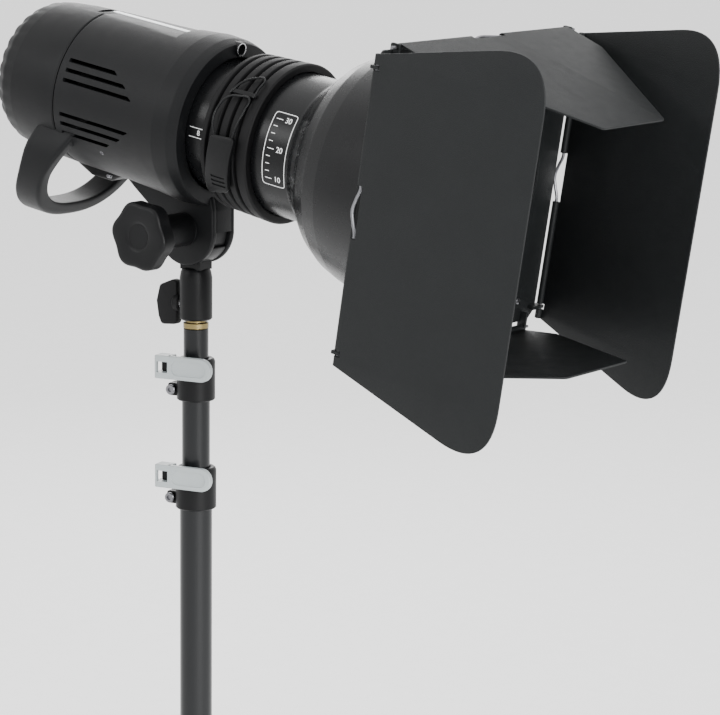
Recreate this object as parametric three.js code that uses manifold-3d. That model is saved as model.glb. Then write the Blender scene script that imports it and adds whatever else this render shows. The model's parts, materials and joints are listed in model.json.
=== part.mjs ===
// Studio flash head with zoom reflector and four-leaf barn doors on a compact light stand.
// Millimetres, +Z up. The origin is the centre of the flat lower end of the stand's column.
import * as THREE from 'three';
import { mergeVertices } from 'three/addons/utils/BufferGeometryUtils.js';
import Module from 'manifold-3d';

const wasm = await Module();
wasm.setup();

// ---- driving dimensions -------------------------------------------------------------
const DEG = Math.PI / 180;
const tubeRadius = 50;                // accessory mount, 100 mm across
const gap = 0.3;                      // clearance between pieces that touch
const slip = 0.4;                     // radial clearance of sliding and turning fits

const headHeight = 875;               // head axis above the column's lower end
const headTilt = 8.9;                 // head looks down by this many degrees

const housingStep = 11.8;             // the housing stands out from the accessory mount by this
const housingRadius = tubeRadius + housingStep;
const noseRadius = housingRadius + 4.6;
const rimRadius = housingRadius + 1;
const lipRadius = tubeRadius + 1.5;   // the front lip closes in on the tube
const lipDepth = 6;
const channelRadius = rimRadius - 4.8;
const wall = 3;
const panelRadius = housingRadius - 21.8;
const pivotDrop = housingRadius + 25.2;
const seamS = -93;                    // seam between housing and rear cover
const rimS = 34.5;                    // front rim of the housing
const bulkheadS = 12;
const rearS = -165;

const tubeFrontS = 96;
const tubeWall = 3;

const collarRearS = 55;               // rubber collar of the reflector
const collarFrontS = 100.3;
const neckRadius = tubeRadius + 5;
const collarRadius = neckRadius + 6.7;
const neckEndS = 134;
const mouthRadius = 101;
const mouthS = 248;
const bowlWall = 1.6;
const bowlCurve = [                   // station, and share of the way from neck to mouth radius
  [140, 0.065], [146, 0.202], [153, 0.359], [160, 0.491], [172, 0.641], [186, 0.739], [206, 0.835],
];

const hingeS = 254.1;                 // plane of the four leaf hinges
const sideHinge = 127.6;
const topHinge = 114.4;
const bottomHinge = 116;
const leafThick = 1.5;
const sideLeaf = { half: 110.9, reach: 145.7, outer: 147, round: 37, straight: 0 };
const endLeaf = { half: 105.7, reach: 135.5, outer: 39.9, round: 5, straight: 32.3 };
const leafAngle = { near: 4.1, far: 15.2, top: 14.8, bottom: 9.5 };
const rodRadius = 1.2;
const barrelRadius = 2.6;
const kinkHalf = 16;
const kinkRise = 4.5;

const knobRadius = 27;
const knobLobes = 6;
const knobFrontY = -69.5;
const knobBackY = -57;
const cheekNearY = -14;
const cheekFarY = 13;
const discHalf = 8;
const cheekRadius = 28.5;
const discRadius = 25;
const sectorRadius = cheekRadius - 1;
const boltRadius = 5;

const spigotRadius = 7.94;            // 5/8 inch spigot
const socketRadius = spigotRadius + 4.81;
const socketTop = -pivotDrop - 31.4;  // heights measured from the head axis
const socketBottom = socketTop - 41;
const socketScrewZ = socketTop - 29.6;
const flangeTop = socketBottom - 1.9;
const flangeBottom = flangeTop - 4.8;

const topTubeRadius = 9.75;
const midTubeRadius = 11;
const baseTubeRadius = 12.75;
const topTubeLength = 400;
const midTubeLength = 440;
const tubeSkin = 1.2;
const upperClampTop = flangeBottom - 23.7;
const lowerClampTop = upperClampTop - 86.8;
const clampHeight = 33;

const legPivotZ = 318;
const legPivotRadius = 42;
const legSpread = 50;                 // legs lean out by this many degrees
const legLength = 527;
const legRadius = 8;
const braceReach = 225;               // from the leg pivot to the brace pivot, and the brace itself
const braceLug = 14;
const bracePivotRadius = 26;
const legAzimuths = [0, 120, 240];
const floorZ = -30;

// housing details
const pivotX = pivotDrop * Math.sin(headTilt * DEG);
const pivotZ = -pivotDrop * Math.cos(headTilt * DEG);

const ventRows = [
  { z: 28.2, front: -36.5 },
  { z: 20.8, front: -23.5 },
  { z: 13.2, front: -15 },
  { z: -13.6, front: -15 },
  { z: -21, front: -23.5 },
  { z: -28.6, front: -36.5 },
];
const ventRear = -85.5;
const ventHeight = 3;

const umbrellaZ = rimRadius - 3.8;
const umbrellaRadius = 5.5;
const umbrellaBore = 4.1;
const umbrellaRear = 3;
const umbrellaFront = 36.5;

const trimFront = -22;
const trimHalf = 9;
const trimThick = 1.6;
const trimFloor = housingRadius - 3.4;

// rear panel
const panelBack = rearS + 1;
const panelFront = rearS + 4;
const inlet = { halfY: 13.5, halfZ: 10, z: -24, depth: 20 };
const display = { halfY: 17, halfZ: 7, z: 21 };
const dial = { radius: 8, z: -1 };
const button = { radius: 3.5, y: 19, z: 3, travel: 1.5 };
const rocker = { y: 22, z: -15, halfY: 4, halfZ: 6 };
const sync = { y: -22, z: -15, radius: 4.5 };

// carrying handle
const handleS = -81;
const handleLean = 0.44;
const handleHalf = 13;
const handleWide = housingRadius - 1.8;
const handleDrop = housingRadius + 46.2;
const handleCentre = -50;
const handleThick = 11;
const handleTop = -34;
const handleSquareness = 2.5;

// lamp, latch and barn door frame
const lampPlateS = 60;
const lampHole = 10;
const latch = { rear: 66, front: 90, from: 7, to: -37, radius: 64.8, thick: 5 };
const wireRadius = 1;
const framePlate = { rear: mouthS + 1, thick: 2, halfY: 125.4, halfZ: 112, hole: mouthRadius - 5, cut: 8 };
const frameRing = { outer: mouthRadius + 4, inner: mouthRadius + 2.2, rear: mouthS - 8 };
const lugThick = 2.4;
const lugGap = 1;
const lugReach = rodRadius + 1.3;

// clamps and legs
const clampTurn = 11;                 // the levers' plates stand off the X axis by this angle
const clampLever = {
  x: -18, y: -baseTubeRadius - 2.75, cam: 6.5, height: 18.4, front: 25, plateY: -baseTubeRadius - 5.25, thick: 5, fork: 8.6, drop: 5.5,
};
const cupFloor = 4;
const cupRadius = baseTubeRadius + 5.75;
const cupHeight = 44;
const collarHeight = 44;
const slideRadius = baseTubeRadius + 6.25;
const lugHalf = 2.5;
const earThick = 3;
const eyeHalf = 5.5;
const braceThick = 4;
const braceHalf = 5;
const pinRadius = 2.1;

const spread = legSpread * DEG;
const attachX = legPivotRadius + braceReach * Math.sin(spread) - braceLug * Math.cos(spread);
const attachZ = legPivotZ - braceReach * Math.cos(spread) - braceLug * Math.sin(spread);
const braceLean = Math.asin((attachX - bracePivotRadius) / braceReach);
const bracePivotZ = attachZ - braceReach * Math.cos(braceLean);

// ---- materials ----------------------------------------------------------------------
function finish(color, roughness, metalness) {
  return () => new THREE.MeshStandardMaterial({ color, roughness, metalness });
}
const look = {
  shell: finish(0x2d2f32, 0.55, 0.0),
  darkShell: finish(0x1b1c1e, 0.6, 0.0),
  silver: finish(0xc8cacc, 0.3, 0.9),
  trim: finish(0xd9dbdc, 0.4, 0.3),
  satin: finish(0x202224, 0.45, 0.6),
  rubber: finish(0x161718, 0.8, 0.0),
  powder: finish(0x2a2d2d, 0.65, 0.3),
  glass: finish(0xe4ecee, 0.15, 0.0),
  lamp: finish(0xf2efe6, 0.3, 0.0),
  board: finish(0x2c5a3a, 0.6, 0.0),
  lever: finish(0xa9adae, 0.45, 0.1),
  brass: finish(0xb08b3e, 0.3, 0.9),
  tube: finish(0x24292d, 0.35, 0.7),
  screen: finish(0x0f1a22, 0.1, 0.0),
};

// ---- solids and geometry ------------------------------------------------------------
function solid(geometry) {
  const bare = geometry.clone();
  bare.deleteAttribute('normal');
  bare.deleteAttribute('uv');
  const welded = mergeVertices(bare, 1e-4);
  const position = welded.attributes.position.array;
  const index = welded.index.array;
  const kept = [];
  let volume = 0;
  const a = new THREE.Vector3();
  const b = new THREE.Vector3();
  const c = new THREE.Vector3();
  for (let i = 0; i < index.length; i += 3) {
    const [p, q, r] = [index[i], index[i + 1], index[i + 2]];
    if (p === q || q === r || r === p) continue;
    kept.push(p, q, r);
    a.fromArray(position, 3 * p);
    b.fromArray(position, 3 * q);
    c.fromArray(position, 3 * r);
    volume += a.dot(b.cross(c));
  }
  if (volume < 0) {
    for (let i = 0; i < kept.length; i += 3) {
      [kept[i + 1], kept[i + 2]] = [kept[i + 2], kept[i + 1]];
    }
  }
  const mesh = { numProp: 3, vertProperties: position, triVerts: new Uint32Array(kept) };
  return new wasm.Manifold(new wasm.Mesh(mesh));
}

function geometryOf(body) {
  const mesh = body.getMesh();
  const geometry = new THREE.BufferGeometry();
  geometry.setAttribute('position', new THREE.BufferAttribute(mesh.vertProperties, 3));
  geometry.setIndex(new THREE.BufferAttribute(mesh.triVerts, 1));
  geometry.computeVertexNormals();
  return geometry;
}

function union(...bodies) {
  return bodies.reduce((whole, body) => whole.add(body));
}

// A solid turned about the X axis from [x, radius] points.
function turnedX(profile, segments = 40) {
  return solid(latheOf(profile, segments).rotateZ(-Math.PI / 2));
}

// A solid turned about the Z axis from [z, radius] points.
function turnedZ(profile, segments = 24) {
  return solid(latheOf(profile, segments).rotateX(Math.PI / 2));
}

function latheOf(profile, segments) {
  const points = profile.map(([along, radius]) => new THREE.Vector2(radius, along));
  if (profile[0][1] > 0) points.push(points[0].clone());
  return new THREE.LatheGeometry(points, segments);
}

// A rod between two stations on X, Y or Z.
function rod(axis, radius, from, to, centre = [0, 0, 0], segments = 16) {
  const geometry = new THREE.CylinderGeometry(radius, radius, Math.abs(to - from), segments);
  geometry.translate(0, (from + to) / 2, 0);
  if (axis === 'x') geometry.rotateZ(-Math.PI / 2);
  if (axis === 'z') geometry.rotateX(Math.PI / 2);
  geometry.translate(...centre);
  return solid(geometry);
}

function block(x0, x1, y0, y1, z0, z1) {
  const geometry = new THREE.BoxGeometry(x1 - x0, y1 - y0, z1 - z0);
  return solid(geometry.translate((x0 + x1) / 2, (y0 + y1) / 2, (z0 + z1) / 2));
}

function outline(points) {
  return new THREE.Shape(points.map(([x, y]) => new THREE.Vector2(x, y)));
}

function arcPoints(cx, cy, radius, from, to, steps) {
  const points = [];
  for (let i = 0; i <= steps; i += 1) {
    const angle = (from + (to - from) * i / steps) * DEG;
    points.push([cx + radius * Math.cos(angle), cy + radius * Math.sin(angle)]);
  }
  return points;
}

// A flat plate in the XY plane between z0 and z1.
function slab(shape, z0, z1, curveSegments = 8) {
  const settings = { depth: z1 - z0, bevelEnabled: false, curveSegments };
  return solid(new THREE.ExtrudeGeometry(shape, settings).translate(0, 0, z0));
}

// A plate whose outline is in X and Z, between two stations on Y.
function upright(points, y0, y1) {
  const geometry = new THREE.ExtrudeGeometry(outline(points), { depth: y1 - y0, bevelEnabled: false });
  return solid(geometry.rotateX(Math.PI / 2).translate(0, y1, 0));
}

// A plate whose outline is in Y and Z, between two stations on X.
function crosswise(points, x0, x1) {
  const geometry = new THREE.ExtrudeGeometry(outline(points), { depth: x1 - x0, bevelEnabled: false });
  return solid(geometry.rotateY(Math.PI / 2).rotateX(Math.PI / 2).translate(x0, 0, 0));
}

function sweep(points, radius, steps, sides = 6) {
  const path = new THREE.CatmullRomCurve3(points.map((point) => new THREE.Vector3(...point)));
  const section = outline(arcPoints(0, 0, radius, 0, 360 - 360 / sides, sides - 1));
  return solid(new THREE.ExtrudeGeometry(section, { steps, extrudePath: path, bevelEnabled: false }));
}

const part = new THREE.Group();
const head = new THREE.Group();
head.position.set(0, 0, headHeight);
head.rotation.y = headTilt * DEG;
part.add(head);

function piece(group, name, body, material) {
  const mesh = new THREE.Mesh(geometryOf(body), material());
  mesh.name = name;
  group.add(mesh);
  return mesh;
}

// ---- head: local X along the optical axis, Z up, -Y towards the operator's side -----
// The lobe under the housing: two cheeks for the bracket's disc, joined by a web above it.
function pivotLobe() {
  const top = -(housingRadius - 11.8);
  const points = [
    [-48, top], [-56, top - 7], [-42, top - 16], [-25, top - 26],
    ...arcPoints(pivotX, pivotZ, cheekRadius, 165, 365, 20),
    [pivotX + cheekRadius - 3, top - 16], [rimS + 1, top - 7], [rimS - 4, top],
  ];
  const half = discHalf + slip;
  const seat = rod('y', sectorRadius + slip, -half, half, [pivotX, 0, pivotZ], 36);
  const below = pivotZ - cheekRadius - 1;
  const open = block(pivotX - cheekRadius - 20, pivotX + cheekRadius + 5, -half, half, below, pivotZ + 3);
  return upright(points, cheekNearY, cheekFarY).subtract(seat).subtract(open);
}

function mainHousing() {
  const inner = housingRadius - wall;
  const shell = turnedX([
    [seamS, housingRadius], [-40, housingRadius + 1], [-8, housingRadius + 2.8],
    [bulkheadS, noseRadius], [26, noseRadius - 0.8], [rimS - 2, rimRadius + 1], [rimS, rimRadius],
    [rimS, lipRadius], [rimS - lipDepth, lipRadius], [rimS - lipDepth, channelRadius],
    [bulkheadS + wall, channelRadius], [bulkheadS + wall, tubeRadius - 6], [bulkheadS, tubeRadius - 6], [bulkheadS, inner + 0.6], [seamS, inner],
  ], 36);
  const cavity = rod('x', inner, seamS - 1, bulkheadS, [0, 0, 0], 36);
  const channel = rod('x', channelRadius, bulkheadS, rimS - lipDepth, [0, 0, 0], 36);
  const mouth = rod('x', lipRadius + 5, rimS - lipDepth, rimS + 20, [0, 0, 0], 36);
  const lobe = pivotLobe().subtract(cavity).subtract(channel).subtract(mouth);
  let body = shell.add(lobe);
  body = body.subtract(rod('y', boltRadius + slip, -80, 80, [pivotX, 0, pivotZ]));
  const discSeat = rod('y', discRadius + slip, -discHalf - slip, discHalf + slip, [pivotX, 0, pivotZ], 36);
  body = body.subtract(discSeat);
  const umbrellaSeat = umbrellaRadius + gap;
  body = body.subtract(rod('x', umbrellaSeat, umbrellaRear - gap, rimS + 2, [0, 0, umbrellaZ], 20));
  const trimSeat = trimHalf + gap;
  const floor = trimFloor + trimThick + 0.4;
  body = body.subtract(block(seamS - 1, trimFront, -40, 40, floor, 90));
  body = body.subtract(block(seamS - 1, trimFront - 3, -trimSeat, trimSeat, trimFloor - gap, 90));
  for (const { z, front } of ventRows) {
    for (const side of [-1, 1]) {
      const y = side * housingRadius;
      body = body.subtract(block(ventRear, front, y - 14, y + 14, z - ventHeight / 2, z + ventHeight / 2));
    }
  }
  return body;
}

function rearCover() {
  const end = rearS;
  const outside = housingRadius;
  return turnedX([
    [seamS - gap, outside - 0.2], [-120, outside - 1.2], [-140, outside - 3], [-151, outside - 4.8],
    [-160, outside - 9.8], [end, panelRadius + 4],
    [end, panelRadius + gap], [end + 4.3, panelRadius + gap], [end + 4.3, panelRadius - 3],
    [end + 7.3, panelRadius - 3], [end + 9, outside - 11.8], [-149, outside - 7.8],
    [-120, outside - 4.3], [seamS - gap, outside - wall],
  ], 36);
}

function rearPanel() {
  let body = rod('x', panelRadius, panelBack, panelFront, [0, 0, 0], 40);
  const [a, b] = [panelBack - 1, panelFront + 1];
  const openings = [
    block(a, b, -inlet.halfY, inlet.halfY, inlet.z - inlet.halfZ, inlet.z + inlet.halfZ),
    block(a, b, -display.halfY, display.halfY, display.z - display.halfZ, display.z + display.halfZ),
    block(a, b, rocker.y - rocker.halfY, rocker.y + rocker.halfY, rocker.z - rocker.halfZ, rocker.z + rocker.halfZ),
    rod('x', dial.radius, a, b, [0, 0, dial.z], 20),
    rod('x', button.radius, a, b, [0, button.y, button.z], 14),
    rod('x', button.radius, a, b, [0, -button.y, button.z], 14),
    rod('x', sync.radius, a, b, [0, sync.y, sync.z], 16),
  ];
  for (const opening of openings) body = body.subtract(opening);
  return body;
}

function powerInlet() {
  const shell = block(panelBack - 1.5, panelBack + inlet.depth, -inlet.halfY + gap, inlet.halfY - gap,
    inlet.z - inlet.halfZ + gap, inlet.z + inlet.halfZ - gap);
  const socket = block(panelBack - 3, panelBack + inlet.depth - 3, -inlet.halfY + 2, inlet.halfY - 2,
    inlet.z - inlet.halfZ + 2, inlet.z + inlet.halfZ - 2);
  let body = shell.subtract(socket);
  for (const y of [-6, 0, 6]) {
    const z = inlet.z + (y === 0 ? 2.5 : -2);
    body = body.add(block(panelBack + 4, panelBack + inlet.depth - 2, y - 1, y + 1, z - 1.8, z + 1.8));
  }
  return body;
}

function rearControls() {
  piece(head, 'rear_panel', rearPanel(), look.darkShell);
  piece(head, 'power_inlet', powerInlet(), look.darkShell);
  const screen = block(panelBack - 0.4, panelFront - 0.6, -display.halfY + gap, display.halfY - gap,
    display.z - display.halfZ + gap, display.z + display.halfZ - gap);
  piece(head, 'display_window', screen, look.screen);
  const knurled = rod('x', dial.radius - gap, panelBack - 7, panelFront - 0.8, [0, 0, dial.z], 20);
  piece(head, 'power_dial', knurled, look.satin);
  const names = ['mode_button', 'test_button'];
  names.forEach((name, i) => {
    const y = (2 * i - 1) * button.y;
    const cap = rod('x', button.radius - gap, panelBack - 2, panelFront + 1, [0, y, button.z], 14);
    piece(head, name, cap, look.lever);
  });
  const rockerCap = upright([
    [panelBack - 2.6, 5.4], [panelBack - 0.6, -5.4], [panelFront, -5.4], [panelFront, 5.4],
  ], rocker.y - rocker.halfY + gap, rocker.y + rocker.halfY - gap).translate([0, 0, rocker.z]);
  piece(head, 'power_switch', rockerCap, look.rubber);
  const plug = rod('x', sync.radius - gap, panelBack - 2.5, panelFront + 8, [0, sync.y, sync.z], 16);
  const bore = rod('x', 2, panelBack - 3, panelFront + 4, [0, sync.y, sync.z], 12);
  piece(head, 'sync_socket', plug.subtract(bore), look.silver);
}

// Half of a flattened ring in Y and Z, open at the top.
function bow(wide, drop, steps) {
  const power = 2 / handleSquareness;
  const points = [];
  for (let i = 0; i <= steps; i += 1) {
    const angle = Math.PI * i / steps;
    const across = Math.sign(Math.cos(angle)) * Math.abs(Math.cos(angle)) ** power;
    const down = Math.sin(angle) ** power;
    points.push([-wide * across, handleCentre - (drop + handleCentre) * down]);
  }
  return points;
}

function carryHandle() {
  const inset = handleWide - handleThick;
  const outer = bow(handleWide, handleDrop, 22);
  const inner = bow(inset, handleDrop - handleThick, 22).reverse();
  const points = [[-handleWide + 1, handleTop], ...outer, [handleWide - 1, handleTop],
    [inset, handleTop], ...inner, [-inset, handleTop]];
  const lean = [1, 0, 0, 0, 0, 1, 0, 0, handleLean, 0, 1, 0, 0, 0, 0, 1];
  const strap = crosswise(points, handleS - handleHalf, handleS + handleHalf).transform(lean);
  return strap.subtract(rod('x', housingRadius + 2 * slip, seamS - 60, 0, [0, 0, 0], 36));
}

function topTrim() {
  return block(seamS + gap, trimFront - 3 - gap, -trimHalf, trimHalf, trimFloor, trimFloor + trimThick);
}

function frontTube() {
  const rear = bulkheadS + wall + gap;
  return turnedX([
    [rear, channelRadius - 1.7], [rear + 3, channelRadius - 1.7], [rear + 3, tubeRadius],
    [tubeFrontS, tubeRadius], [tubeFrontS, tubeRadius - tubeWall], [rear, tubeRadius - tubeWall],
  ], 36).subtract(rod('x', umbrellaRadius + gap, 0, rimS + 9, [0, 0, umbrellaZ], 20));
}

function umbrellaTube() {
  return turnedX([
    [umbrellaRear, umbrellaRadius], [umbrellaFront, umbrellaRadius],
    [umbrellaFront, umbrellaBore], [umbrellaRear, umbrellaBore],
  ], 20).translate([0, 0, umbrellaZ]);
}

function lampGroup() {
  const inside = tubeRadius - tubeWall - gap;
  const plate = turnedX([
    [lampPlateS, inside], [lampPlateS + 2, inside], [lampPlateS + 2, lampHole], [lampPlateS, lampHole],
  ], 24);
  piece(head, 'lamp_plate', plate, look.silver);
  const glassRear = tubeFrontS - 5;
  piece(head, 'front_glass', rod('x', inside, glassRear, glassRear + 3, [0, 0, 0], 24), look.glass);
  const ringS = 74;
  const ring = solid(new THREE.TorusGeometry(28, 4, 6, 18).rotateY(Math.PI / 2).translate(ringS, 0, 0));
  const legs = [-1, 1].map((side) => rod('x', 3, lampPlateS + 2 + gap, ringS, [0, side * 6, -27], 10));
  piece(head, 'flash_tube', union(ring, ...legs), look.lamp);
  const bulb = turnedX([
    [40, 0], [40, 7], [58, 7], [62, 9], [76, 9], [83, 6], [85, 0],
  ], 20);
  piece(head, 'modelling_lamp', bulb, look.glass);
}

function electronics() {
  const board = block(-75, 0, -38, 38, -42, -40.4);
  piece(head, 'circuit_board', board, look.board);
  let bank = block(-70, -5, -34, 34, -16, -12);
  for (const y of [-22, 0, 22]) {
    bank = bank.add(rod('x', 10, -66, -10, [0, y, -3], 14));
  }
  piece(head, 'capacitor_bank', bank, look.darkShell);
  const hub = rod('x', 11, -128, -114, [0, 0, 0], 18);
  let fan = hub;
  for (let i = 0; i < 7; i += 1) {
    const blade = block(-1.2, 1.2, -5, 5, 9, 33).rotate([0, 0, 35]).translate([-121, 0, 0]);
    fan = fan.add(blade.rotate([i * 360 / 7, 0, 0]));
  }
  piece(head, 'cooling_fan', fan, look.rubber);
}

function tiltKnob() {
  const points = [];
  const steps = knobLobes * 8;
  for (let i = 0; i < steps; i += 1) {
    const angle = 2 * Math.PI * i / steps;
    const radius = knobRadius - 1.6 + 1.6 * Math.cos(knobLobes * angle);
    points.push([radius * Math.cos(angle), radius * Math.sin(angle)]);
  }
  const grip = upright(points, knobFrontY, knobBackY);
  const hub = rod('y', 13, knobBackY - 1, cheekNearY - gap, [0, 0, 0], 20);
  const recess = rod('y', 11, knobFrontY - 1, knobFrontY + 2.5, [0, 0, 0], 20);
  const bore = rod('y', boltRadius + slip, knobFrontY + 10, cheekNearY + 5, [0, 0, 0], 16);
  return grip.add(hub).subtract(recess).subtract(bore).translate([pivotX, 0, pivotZ]);
}

function tiltBolt() {
  const shank = rod('y', boltRadius, knobFrontY + 11, cheekFarY + 1, [0, 0, 0], 16);
  const cap = rod('y', 10, cheekFarY + gap, cheekFarY + 5, [0, 0, 0], 6);
  return shank.add(cap).translate([pivotX, 0, pivotZ]);
}

function buildHead() {
  piece(head, 'main_housing', mainHousing(), look.shell);
  piece(head, 'rear_cover', rearCover(), look.shell);
  rearControls();
  piece(head, 'carry_handle', carryHandle(), look.shell);
  piece(head, 'top_trim', topTrim(), look.trim);
  piece(head, 'front_tube', frontTube(), look.satin);
  piece(head, 'umbrella_tube', umbrellaTube(), look.silver);
  lampGroup();
  electronics();
  piece(head, 'tilt_knob', tiltKnob(), look.darkShell);
  piece(head, 'tilt_bolt', tiltBolt(), look.silver);
}

// ---- zoom reflector -----------------------------------------------------------------
function reflectorShell() {
  const rear = collarRearS + 2;
  const bore = tubeRadius + slip;
  const outer = [
    [rear, neckRadius], [neckEndS, neckRadius],
    ...bowlCurve.map(([s, share]) => [s, neckRadius + share * (mouthRadius - neckRadius)]),
    [mouthS, mouthRadius],
  ];
  const inner = outer.slice(2).map(([s, r]) => [s + 0.6, r - bowlWall - 0.4]).reverse();
  inner[0][0] = mouthS;
  const neck = [[neckEndS, neckRadius - bowlWall], [tubeFrontS + 6, neckRadius - bowlWall],
    [tubeFrontS + 3, bore], [rear, bore]];
  return turnedX([...outer, ...inner, ...neck], 36);
}

function rubberCollar() {
  const seat = neckRadius + gap;
  const points = [[collarRearS, seat]];
  const pitch = 9.4;
  points.push([collarRearS, collarRadius - 1.7]);
  for (let i = 0; i < 4; i += 1) {
    const s = collarRearS + 4.4 + i * pitch;
    const radius = collarRadius - 1.6 + 0.35 * i;
    points.push([s, radius], [s + 0.8, radius - 3.4], [s + 3, radius - 3.4], [s + 3.8, radius + 0.3]);
  }
  points.push([collarFrontS, collarRadius], [collarFrontS, seat]);
  return turnedX(points, 36);
}

// An arc plate around the X axis; angles run from -Y (0) towards +Z.
function arcPlate(x0, x1, r0, r1, from, to, steps) {
  const along = (radius, a, b) => arcPoints(0, 0, radius, 180 - a, 180 - b, steps);
  return crosswise([...along(r1, from, to), ...along(r0, from, to).reverse()], x0, x1);
}

function latchLever() {
  const inside = collarRadius + 0.8;
  return arcPlate(latch.rear, latch.front, inside, inside + latch.thick, latch.to, latch.from, 6);
}

function polar(s, radius, angle) {
  return [s, -radius * Math.cos(angle * DEG), radius * Math.sin(angle * DEG)];
}

function latchWire() {
  const r = collarRadius + 2.2;
  const points = [
    polar(latch.rear + 3, r, 9), polar(latch.rear + 1, r, 22), polar(latch.rear + 3, r, 36),
    polar(latch.rear + 9, r, 44), polar(latch.front - 8, r, 46), polar(latch.front - 1, r, 40),
    polar(latch.front, r, 24), polar(latch.front - 3, r, 9),
  ];
  return sweep(points, wireRadius, 20);
}

function buildReflector() {
  piece(head, 'reflector_shell', reflectorShell(), look.satin);
  piece(head, 'rubber_collar', rubberCollar(), look.rubber);
  piece(head, 'latch_lever', latchLever(), look.darkShell);
  piece(head, 'latch_wire', latchWire(), look.silver);
}

// ---- barn doors ---------------------------------------------------------------------
function hingeLug(along, across, vertical) {
  const half = lugThick / 2;
  const x0 = framePlate.rear;
  const x1 = hingeS + lugReach;
  const reach = lugReach;
  const inner = Math.abs(across) - 12;
  const [lo, hi] = across > 0 ? [inner, across + reach] : [across - reach, -inner];
  const lug = vertical
    ? block(x0, x1, lo, hi, along - half, along + half)
    : block(x0, x1, along - half, along + half, lo, hi);
  const hole = vertical
    ? rod('z', rodRadius + gap, along - 5, along + 5, [hingeS, across, 0], 8)
    : rod('y', rodRadius + gap, along - 5, along + 5, [hingeS, 0, across], 8);
  return { lug, hole };
}

function doorFrame() {
  const { halfY, halfZ, cut, rear, thick, hole } = framePlate;
  const corners = [
    [-halfY, -halfZ + cut], [-halfY + cut, -halfZ], [halfY - cut, -halfZ], [halfY, -halfZ + cut],
    [halfY, halfZ - cut], [halfY - cut, halfZ], [-halfY + cut, halfZ], [-halfY, halfZ - cut],
  ];
  let body = crosswise(corners, rear, rear + thick);
  body = body.subtract(rod('x', hole, rear - 1, rear + thick + 1, [0, 0, 0], 40));
  const ring = turnedX([
    [frameRing.rear, frameRing.outer], [rear + thick / 2, frameRing.outer],
    [rear + thick / 2, frameRing.inner], [frameRing.rear, frameRing.inner],
  ], 40);
  body = body.add(ring);
  const holes = [];
  const sideLug = framePlate.halfZ - framePlate.cut - lugThick;
  const endLug = endLeaf.half + lugThick / 2 + lugGap;
  for (const side of [-1, 1]) {
    for (const across of [-sideHinge, sideHinge]) {
      const { lug, hole: bore } = hingeLug(side * sideLug, across, true);
      body = body.add(lug);
      holes.push(bore);
    }
    for (const across of [-bottomHinge, topHinge]) {
      const { lug, hole: bore } = hingeLug(side * endLug, across, false);
      body = body.add(lug);
      holes.push(bore);
    }
  }
  for (const bore of holes) body = body.subtract(bore);
  return body;
}

// A leaf lies in its local XY plane with its hinge on the Y axis.
function leaf(size, lugAlong) {
  const start = -0.5;
  const points = [[start, -size.half]];
  if (size.straight > 0) points.push([size.straight, -size.half]);
  points.push(...roundCorner(size, -1), ...roundCorner(size, 1).reverse());
  if (size.straight > 0) points.push([size.straight, size.half]);
  points.push([start, size.half]);
  let body = slab(outline(points), barrelRadius - leafThick, barrelRadius);
  const barrel = rod('y', barrelRadius, -size.half, size.half, [0, 0, 0], 12);
  body = body.add(barrel);
  body = body.subtract(rod('y', rodRadius + gap, -size.half - 5, size.half + 5, [0, 0, 0], 10));
  const notch = kinkHalf + 3;
  body = body.subtract(block(-8, barrelRadius + 0.2, -notch, notch, -8, 8));
  const slot = lugThick / 2 + lugGap;
  for (const side of [-1, 1]) {
    const y = side * lugAlong;
    body = body.subtract(block(-8, lugReach + lugGap, y - slot, y + slot, -12, 12));
  }
  return body;
}

// The rounded outer corner of a leaf, from the slanted side to the outer edge.
function roundCorner(size, side) {
  const from = new THREE.Vector2(size.straight, size.half);
  const corner = new THREE.Vector2(size.reach, size.outer);
  const back = from.clone().sub(corner).normalize();
  const down = new THREE.Vector2(0, -1);
  const half = Math.acos(back.dot(down)) / 2;
  const cut = size.round / Math.tan(half);
  const start = corner.clone().addScaledVector(back, cut);
  const end = corner.clone().addScaledVector(down, cut);
  const curve = new THREE.QuadraticBezierCurve(start, corner, end);
  return curve.getPoints(6).map((point) => [point.x, side * point.y]);
}

function hingeRod(lugAlong) {
  const end = lugAlong + lugThick + 4;
  const kink = sweep([
    [0, -kinkHalf - 1, 0], [0, -kinkHalf, 0], [-kinkRise * 0.6, -kinkHalf / 2, 0], [-kinkRise, 0, 0],
    [-kinkRise * 0.6, kinkHalf / 2, 0], [0, kinkHalf, 0], [0, kinkHalf + 1, 0],
  ], rodRadius, 12);
  const arms = [-1, 1].map((side) => rod('y', rodRadius, side * kinkHalf, side * end, [0, 0, 0], 6));
  return union(kink, ...arms);
}

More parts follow.
